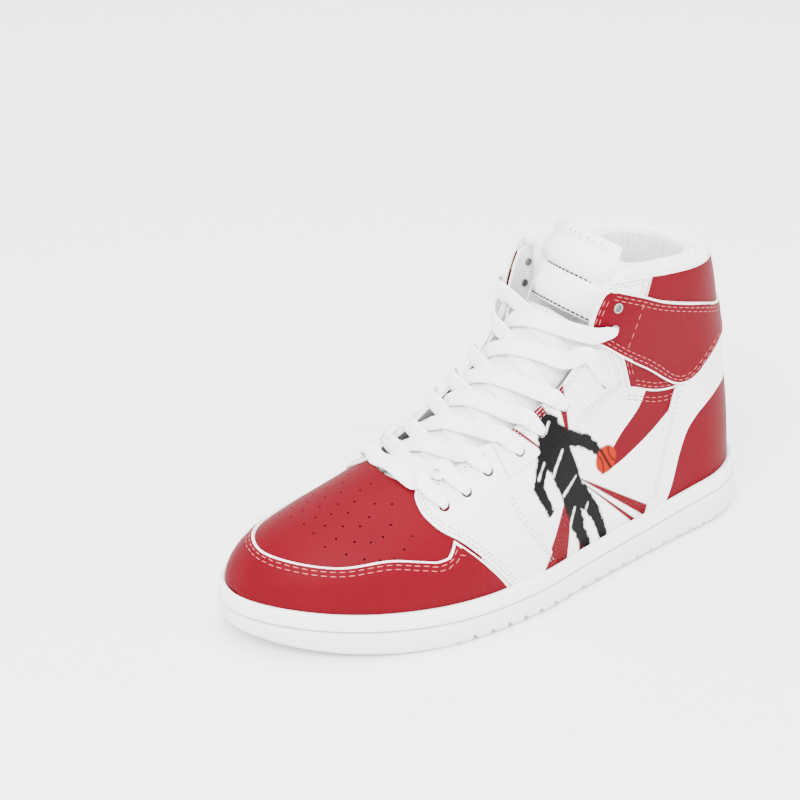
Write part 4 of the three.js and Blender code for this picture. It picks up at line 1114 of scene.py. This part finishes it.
# ---- the tongue ----
def pillow(name, start, end, depth_at, thick, nu, nv, material, nodes, body, slot, half=tongue_half):
    """A closed padded part of the tongue."""
    def surface(u, v):
        a = mix(start, end, u)
        angle = 2 * math.pi * v
        near = np.minimum(u, 1 - u) * (end - start) * TONGUE.length
        edge_round = np.sqrt(np.clip(1 - np.clip(1 - near / 2.2, 0, 1) ** 2, 0, 1))
        c, q = np.cos(angle), np.sin(angle)
        wide = half(a) + np.where(c < 0, 6.0, 1.5) * smooth((a - 0.75) / 0.05)
        w = np.sign(c) * np.abs(c) ** 0.5 * (wide - 1.5 * (1 - edge_round)) * np.where(edge_round > 0, 1, 0)
        body_depth = -thick / 2 + np.sign(q) * np.abs(q) ** 0.5 * thick / 2 * edge_round
        across = np.clip(np.abs(w) / wide, 0, 1)
        top = np.where(q > 0, depth_at(a, w) * edge_round * (1 - across**6), 0)
        raised = 0.02 * np.clip(np.abs(w) - 10, 0, 40) ** 2 * smooth((a - 0.8) / 0.12)
        points, normals = on_tongue(a, w, body_depth + top + raised)
        return points, None, np.stack([w / 10, a * TONGUE.length / 10], -1)
    piece = grid(name, nu, nv, surface)
    close(piece)
    dress(piece, slot, material, nodes=nodes, body=body, angle=180)
    return piece


def tongue_skin():
    """White leather with a strip of grey-white mesh along the medial edge."""
    material, tree, shade = start("tongue_skin")
    split = add(tree, "ShaderNodeSeparateXYZ", {0: add(tree, "ShaderNodeUVMap").outputs["UV"]})
    strip = calc(tree, "LESS_THAN", split.outputs[0], -1.35)
    spot = add(tree, "ShaderNodeTexCoord").outputs["Object"]
    cells = add(tree, "ShaderNodeTexVoronoi", {"Vector": spot, "Scale": 700.0, "Randomness": 0.3})
    holes = add(tree, "ShaderNodeMapRange", {0: cells.outputs["Distance"], 1: 0.15, 2: 0.4}).outputs[0]
    knit = blend(tree, holes, rgb(150, 150, 152), rgb(226, 226, 226))
    tree.links.new(blend(tree, strip, WHITE, knit), shade.inputs["Base Color"])
    surface = use(tree, GRAIN, Size=900.0, Strength=0.2)
    tree.links.new(surface.outputs["Normal"], shade.inputs["Normal"])
    shade.inputs["Roughness"].default_value = 0.5
    return material


def swell(a, first, last, height):
    x = np.clip((a - first) / (last - first), 0, 1)
    return height * (1 - np.abs(2 * x - 1) ** 3) * ((a > first) & (a < last))


def upper_relief(a, w):
    return swell(a, 0.765, 0.858, 2.4) + swell(a, 0.866, 0.955, 2.6) + swell(a, 0.962, 0.998, 0.7)


TONGUE_SKIN = tongue_skin()
pillow("tongue_lower", 0, TONGUE_SEAM - TONGUE_SPLIT, lambda a, w: swell(a, 0.0, 0.735, 0.8), 6.8, 90, 48,
       TONGUE_SKIN, ["tongue_face", "tongue_foam", "tongue_lining"], "root", "white_leather")
pillow("tongue_upper", TONGUE_SEAM + TONGUE_SPLIT, 1, upper_relief, 6.8, 90, 56, TONGUE_SKIN,
       ["tongue_top_face", "tongue_top_foam", "tongue_top_lining"], "tongue_top", "white_leather")


# ---- laces and eyelets ----
def stop(at, depth, half, normal=None):
    p, n = at
    return (p + n * depth, n if normal is None else normal, half)


def eyelet(side, row):
    return on_last(EYELETS[row][0], EYELETS[row][1], side)


def behind_edge(side, row, share):
    s, z = (mix(throat, hole, share) for throat, hole in zip(THROAT[row], EYELETS[row]))
    return on_last(s, z, side)


WIDE = LACE_WIDTH / 2
LACE_CROWN = 0.25             # how far the lace's edges drop below its middle
UNDER = -4.6
ALONG = [0.065, 0.145, 0.225, 0.335, 0.42, 0.52, 0.64, 0.725]
ACROSS = [19, 20, 20, 23, 24.5, 26.5, 28, 26]
ARRIVAL = [9.8, 12.3, 10.7, 10.6, 8, 7.6, 7.8, 10.3]


def over_face(row):
    return 1.4 + (2.2 if row > 6 else 0)


def down_eyelet(side, row):
    return [stop(behind_edge(side, row, 0.0), over_face(row) + 2, WIDE),
            stop(behind_edge(side, row, 0.5), over_face(row) + 0.7, WIDE * 0.86),
            stop(behind_edge(side, row, 0.82), over_face(row) + 0.5, 2.7),
            stop(eyelet(side, row), over_face(row) - 0.6, 1.7),
            stop(eyelet(side, row), -1.6, 1.4)]


def crossing(row, share, side, height):
    f = (1 - side * share) / 2
    a = mix(ALONG[row], ALONG[row + 1], f)
    at = on_tongue(a, share * mix(ACROSS[row], ACROSS[row + 1], f))
    up = TONGUE.along(a)
    n = at[1] + np.array([0, up[0], -up[1]]) * 0.34 * smooth(-share / 0.4)
    return stop(at, height, WIDE, n / np.linalg.norm(n))


def ribbon(name, stops, nodes, nu=110, nv=18):
    """A flat woven lace through its stops, thicker where it is narrowed."""
    spine = Spline([q[0] for q in stops])
    normals = np.array([q[1] for q in stops])
    halves = np.array([q[2] for q in stops])

    def surface(u, v):
        p, t = spine.at(u), spine.along(u)
        n = np.stack([np.interp(u, spine.stops[:len(stops)], c) for c in normals.T], -1)
        n -= t * np.sum(n * t, -1, keepdims=True)
        n /= np.linalg.norm(n, axis=-1, keepdims=True)
        across = np.cross(t, n)
        half = np.interp(u, spine.stops[:len(stops)], halves)
        angle = 2 * math.pi * v
        c, q = np.cos(angle), np.sin(angle)
        near = np.minimum(u, 1 - u) * spine.length
        end = np.sqrt(np.clip(1 - np.clip(1 - near / 0.7, 0, 1) ** 2, 0, 1))
        thick = LACE_THICKNESS / 2 * (1 + 0.9 * smooth((3.4 - half) / 2))
        x = np.sign(c) * np.abs(c) ** 0.6 * half
        y = np.sign(q) * np.abs(q) ** 0.75 * thick
        y = y - LACE_CROWN * (x / WIDE) ** 2
        points = p + across * (x * end)[:, None] + n * (y * end)[:, None]
        return points, None, np.stack([x / WIDE * 3.9, u * spine.length], -1)
    piece = grid(name, nu, nv, surface)
    close(piece, 0.00001)
    return dress(piece, "lace_cotton", LACE, nodes=nodes, angle=180)


def lace_run(side, row):
    arrival = ARRIVAL[row + 1]
    lifts = [2.9, 3.0, 3.8, 4.9, arrival] if side < 0 else [1.35, 1.35, 1.6, 2.8, arrival]
    middle = [crossing(row, share * side, side, h) for share, h in zip((0.8, 0.5, 0, -0.5, -0.8), lifts)]
    return [stop(behind_edge(side, row, 0.3), UNDER, 2.8), stop(behind_edge(side, row, 0.0), UNDER, 3.2),
            *middle, *down_eyelet(-side, row + 1)]


for side, word in ((-1, "to_lateral"), (1, "to_medial")):
    for row in range(7):
        ribbon(f"lace_{word}_{row + 1}_cotton", lace_run(side, row), [f"lace_{word}_{row + 1}"])
first_row = [stop(on_tongue(ALONG[0], w), ARRIVAL[0], WIDE) for w in (-12, 0, 12)]
ribbon("lace_bar_cotton", down_eyelet(-1, 0)[::-1] + first_row + down_eyelet(1, 0), ["lace_bar"])

for word, side in (("lateral", 1), ("medial", -1)):
    for place_word, row in zip(("lower", "upper"), GROMMET_ROWS):
        p, n = eyelet(side, row)
        bpy.ops.mesh.primitive_torus_add(major_radius=GROMMET_RING * MM, minor_radius=GROMMET_WIRE * MM,
                                         major_segments=40, minor_segments=14)
        ring = bpy.context.object
        ring.name = ring.data.name = f"grommet_ring_{word}_{place_word}"
        turn = Vector((0, 0, 1)).rotation_difference(Vector(n)).to_matrix().to_4x4()
        flat = Matrix.Diagonal((1, 1, 0.75, 1))
        ring.data.transform(Matrix.Translation(Vector(p + n * 1.9) * MM) @ turn @ flat)
        bpy.ops.mesh.primitive_cylinder_add(vertices=32, radius=GROMMET_BARREL * MM,
                                            depth=GROMMET_DEPTH * MM, end_fill_type="NOTHING")
        barrel = bpy.context.object
        barrel.data.transform(Matrix.Translation(Vector(p - n * 0.6) * MM) @ turn)
        alone(ring)
        barrel.select_set(True)
        bpy.ops.object.join()
        dress(ring, "grommet_metal", STEEL, nodes=[f"grommet_{word}_{place_word}"], angle=180)

# ---- stitching ----
def both(points, depth, insets=(0.0,)):
    """The same line on both sides of the shoe, once for each inset upwards."""
    lines = []
    for lift_by in insets:
        raised = [[s, z + lift_by] for s, z in points]
        lines += [last_line(raised, side, depth) for side in (1, -1)]
    return lines


FACE, STRAP_FACE, BASE_FACE = 0.1, 1.9, -1.15
FINE_STITCH = {"width": 0.45, "height": 0.3, "pitch": 2.7, "length": 2.0}
threads = [edge_line(guard_at, FACE, "top", inset, 0.012, 0.988) for inset in (2.4, 4.6)]
stitches("thread_mudguard", threads, THREAD_PINK)
threads = [edge_line(strap_plain, STRAP_FACE, border, inset, 0.02, 0.98) for inset in (2.6, 4.6)
           for border in ("top", "low")]
threads += [edge_line(strap_plain, STRAP_FACE, border, inset, 0.17, 0.83) for inset in (2.6, 4.6)
            for border in ("front", "rear")]
threads += both([[90, 141], [94, 130], [99, 118]], STRAP_FACE)
stitches("thread_strap", threads, THREAD_PINK)
threads = [edge_line(ankle_plain, FACE + 0.1, "low", inset, 0.02, 0.98) for inset in (2.4, 4.4)]
threads += [edge_line(ankle_plain, FACE + 0.1, border, inset, 0.15, 0.6) for inset in (2.4, 4.4)
            for border in ("front", "rear")]
stitches("thread_ankle", threads, THREAD_PINK)
below = [[s, float(ankle_low(s))] for s in (60, 68, 76, 86, 95)]
stitches("thread_under_ankle", both(below, BASE_FACE, (-4.0, -6.2)), THREAD_PINK)
threads = [edge_line(heel_at, FACE, border, inset, 0.15, 0.97) for border in ("front", "rear")
           for inset in (1.8, 3.6)]
threads += both([[64, 72], [70, 52], [80, 30]], BASE_FACE)
stitches("thread_heel", threads, THREAD_PAINTED_SEAM_SHADE, **FINE_STITCH)
threads = []
for side, (forefoot_at, eyestay_at, corner_at) in sides.items():
    for inset in (1.8, 3.6):
        threads += [edge_line(forefoot_at, FACE, "front", inset, 0.12, 0.95),
                    edge_line(forefoot_at, FACE, "rear", inset, 0.12, 0.72),
                    edge_line(forefoot_at, FACE, "top", inset, 0.1, 0.9),
                    edge_line(eyestay_at, FACE, "top", inset, 0.02, 0.98),
                    edge_line(eyestay_at, FACE, "rear", inset, 0.05, 0.9),
                    edge_line(eyestay_at, FACE, "low", inset, 0.02, 0.36),
                    edge_line(corner_at, 0.6, "top", inset, 0.1, 0.9),
                    edge_line(corner_at, 0.6, "rear", inset, 0.1, 0.9)]
stitches("thread_white_panels", threads, THREAD_PAINTED_SEAM_SHADE, **FINE_STITCH)


def tongue_row(a, half, depth):
    """A line straight across the tongue."""
    w = np.linspace(-half, half, 60)
    return on_tongue(np.full_like(w, a), w, depth)


stitches("thread_tongue_seams", [tongue_row(0.862, 22, 0.1), tongue_row(0.76, 24, 0.1)], THREAD_DARK,
         body="tongue_top", pitch=2.6, length=2.5, width=0.95, height=0.6)
stitches("thread_tongue_dots", [tongue_row(0.977, 19, 0.75)], THREAD_DARK, body="tongue_top", pitch=4.0,
         length=1.0, width=0.6)
stitches("thread_tongue_lower", [tongue_row(0.728, 20, 0.75)], THREAD_DARK, pitch=3.4, length=1.0,
         width=0.5)

# ---- what lies out of sight keeps its own solid, with its material ----
for name, material in (("midsole_core", CORE_FOAM), ("heel_cushion", FOAM), ("strobel_board", BOARD_PULP),
                       ("toe_puff", COUNTER_FIBRE), ("heel_counter", COUNTER_FIBRE)):
    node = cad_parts[name]
    node.data.materials.clear()
    node.data.materials.append(material)

bpy.ops.mesh.primitive_plane_add(size=8, location=(0, 0, -0.0003))
floor = bpy.context.object
floor.name = "floor"
material, tree, shade = start("pale_floor")
shade.inputs["Base Color"].default_value = (0.9, 0.9, 0.9, 1)
shade.inputs["Roughness"].default_value = 0.75
floor.data.materials.append(material)

bpy.context.view_layer.update()
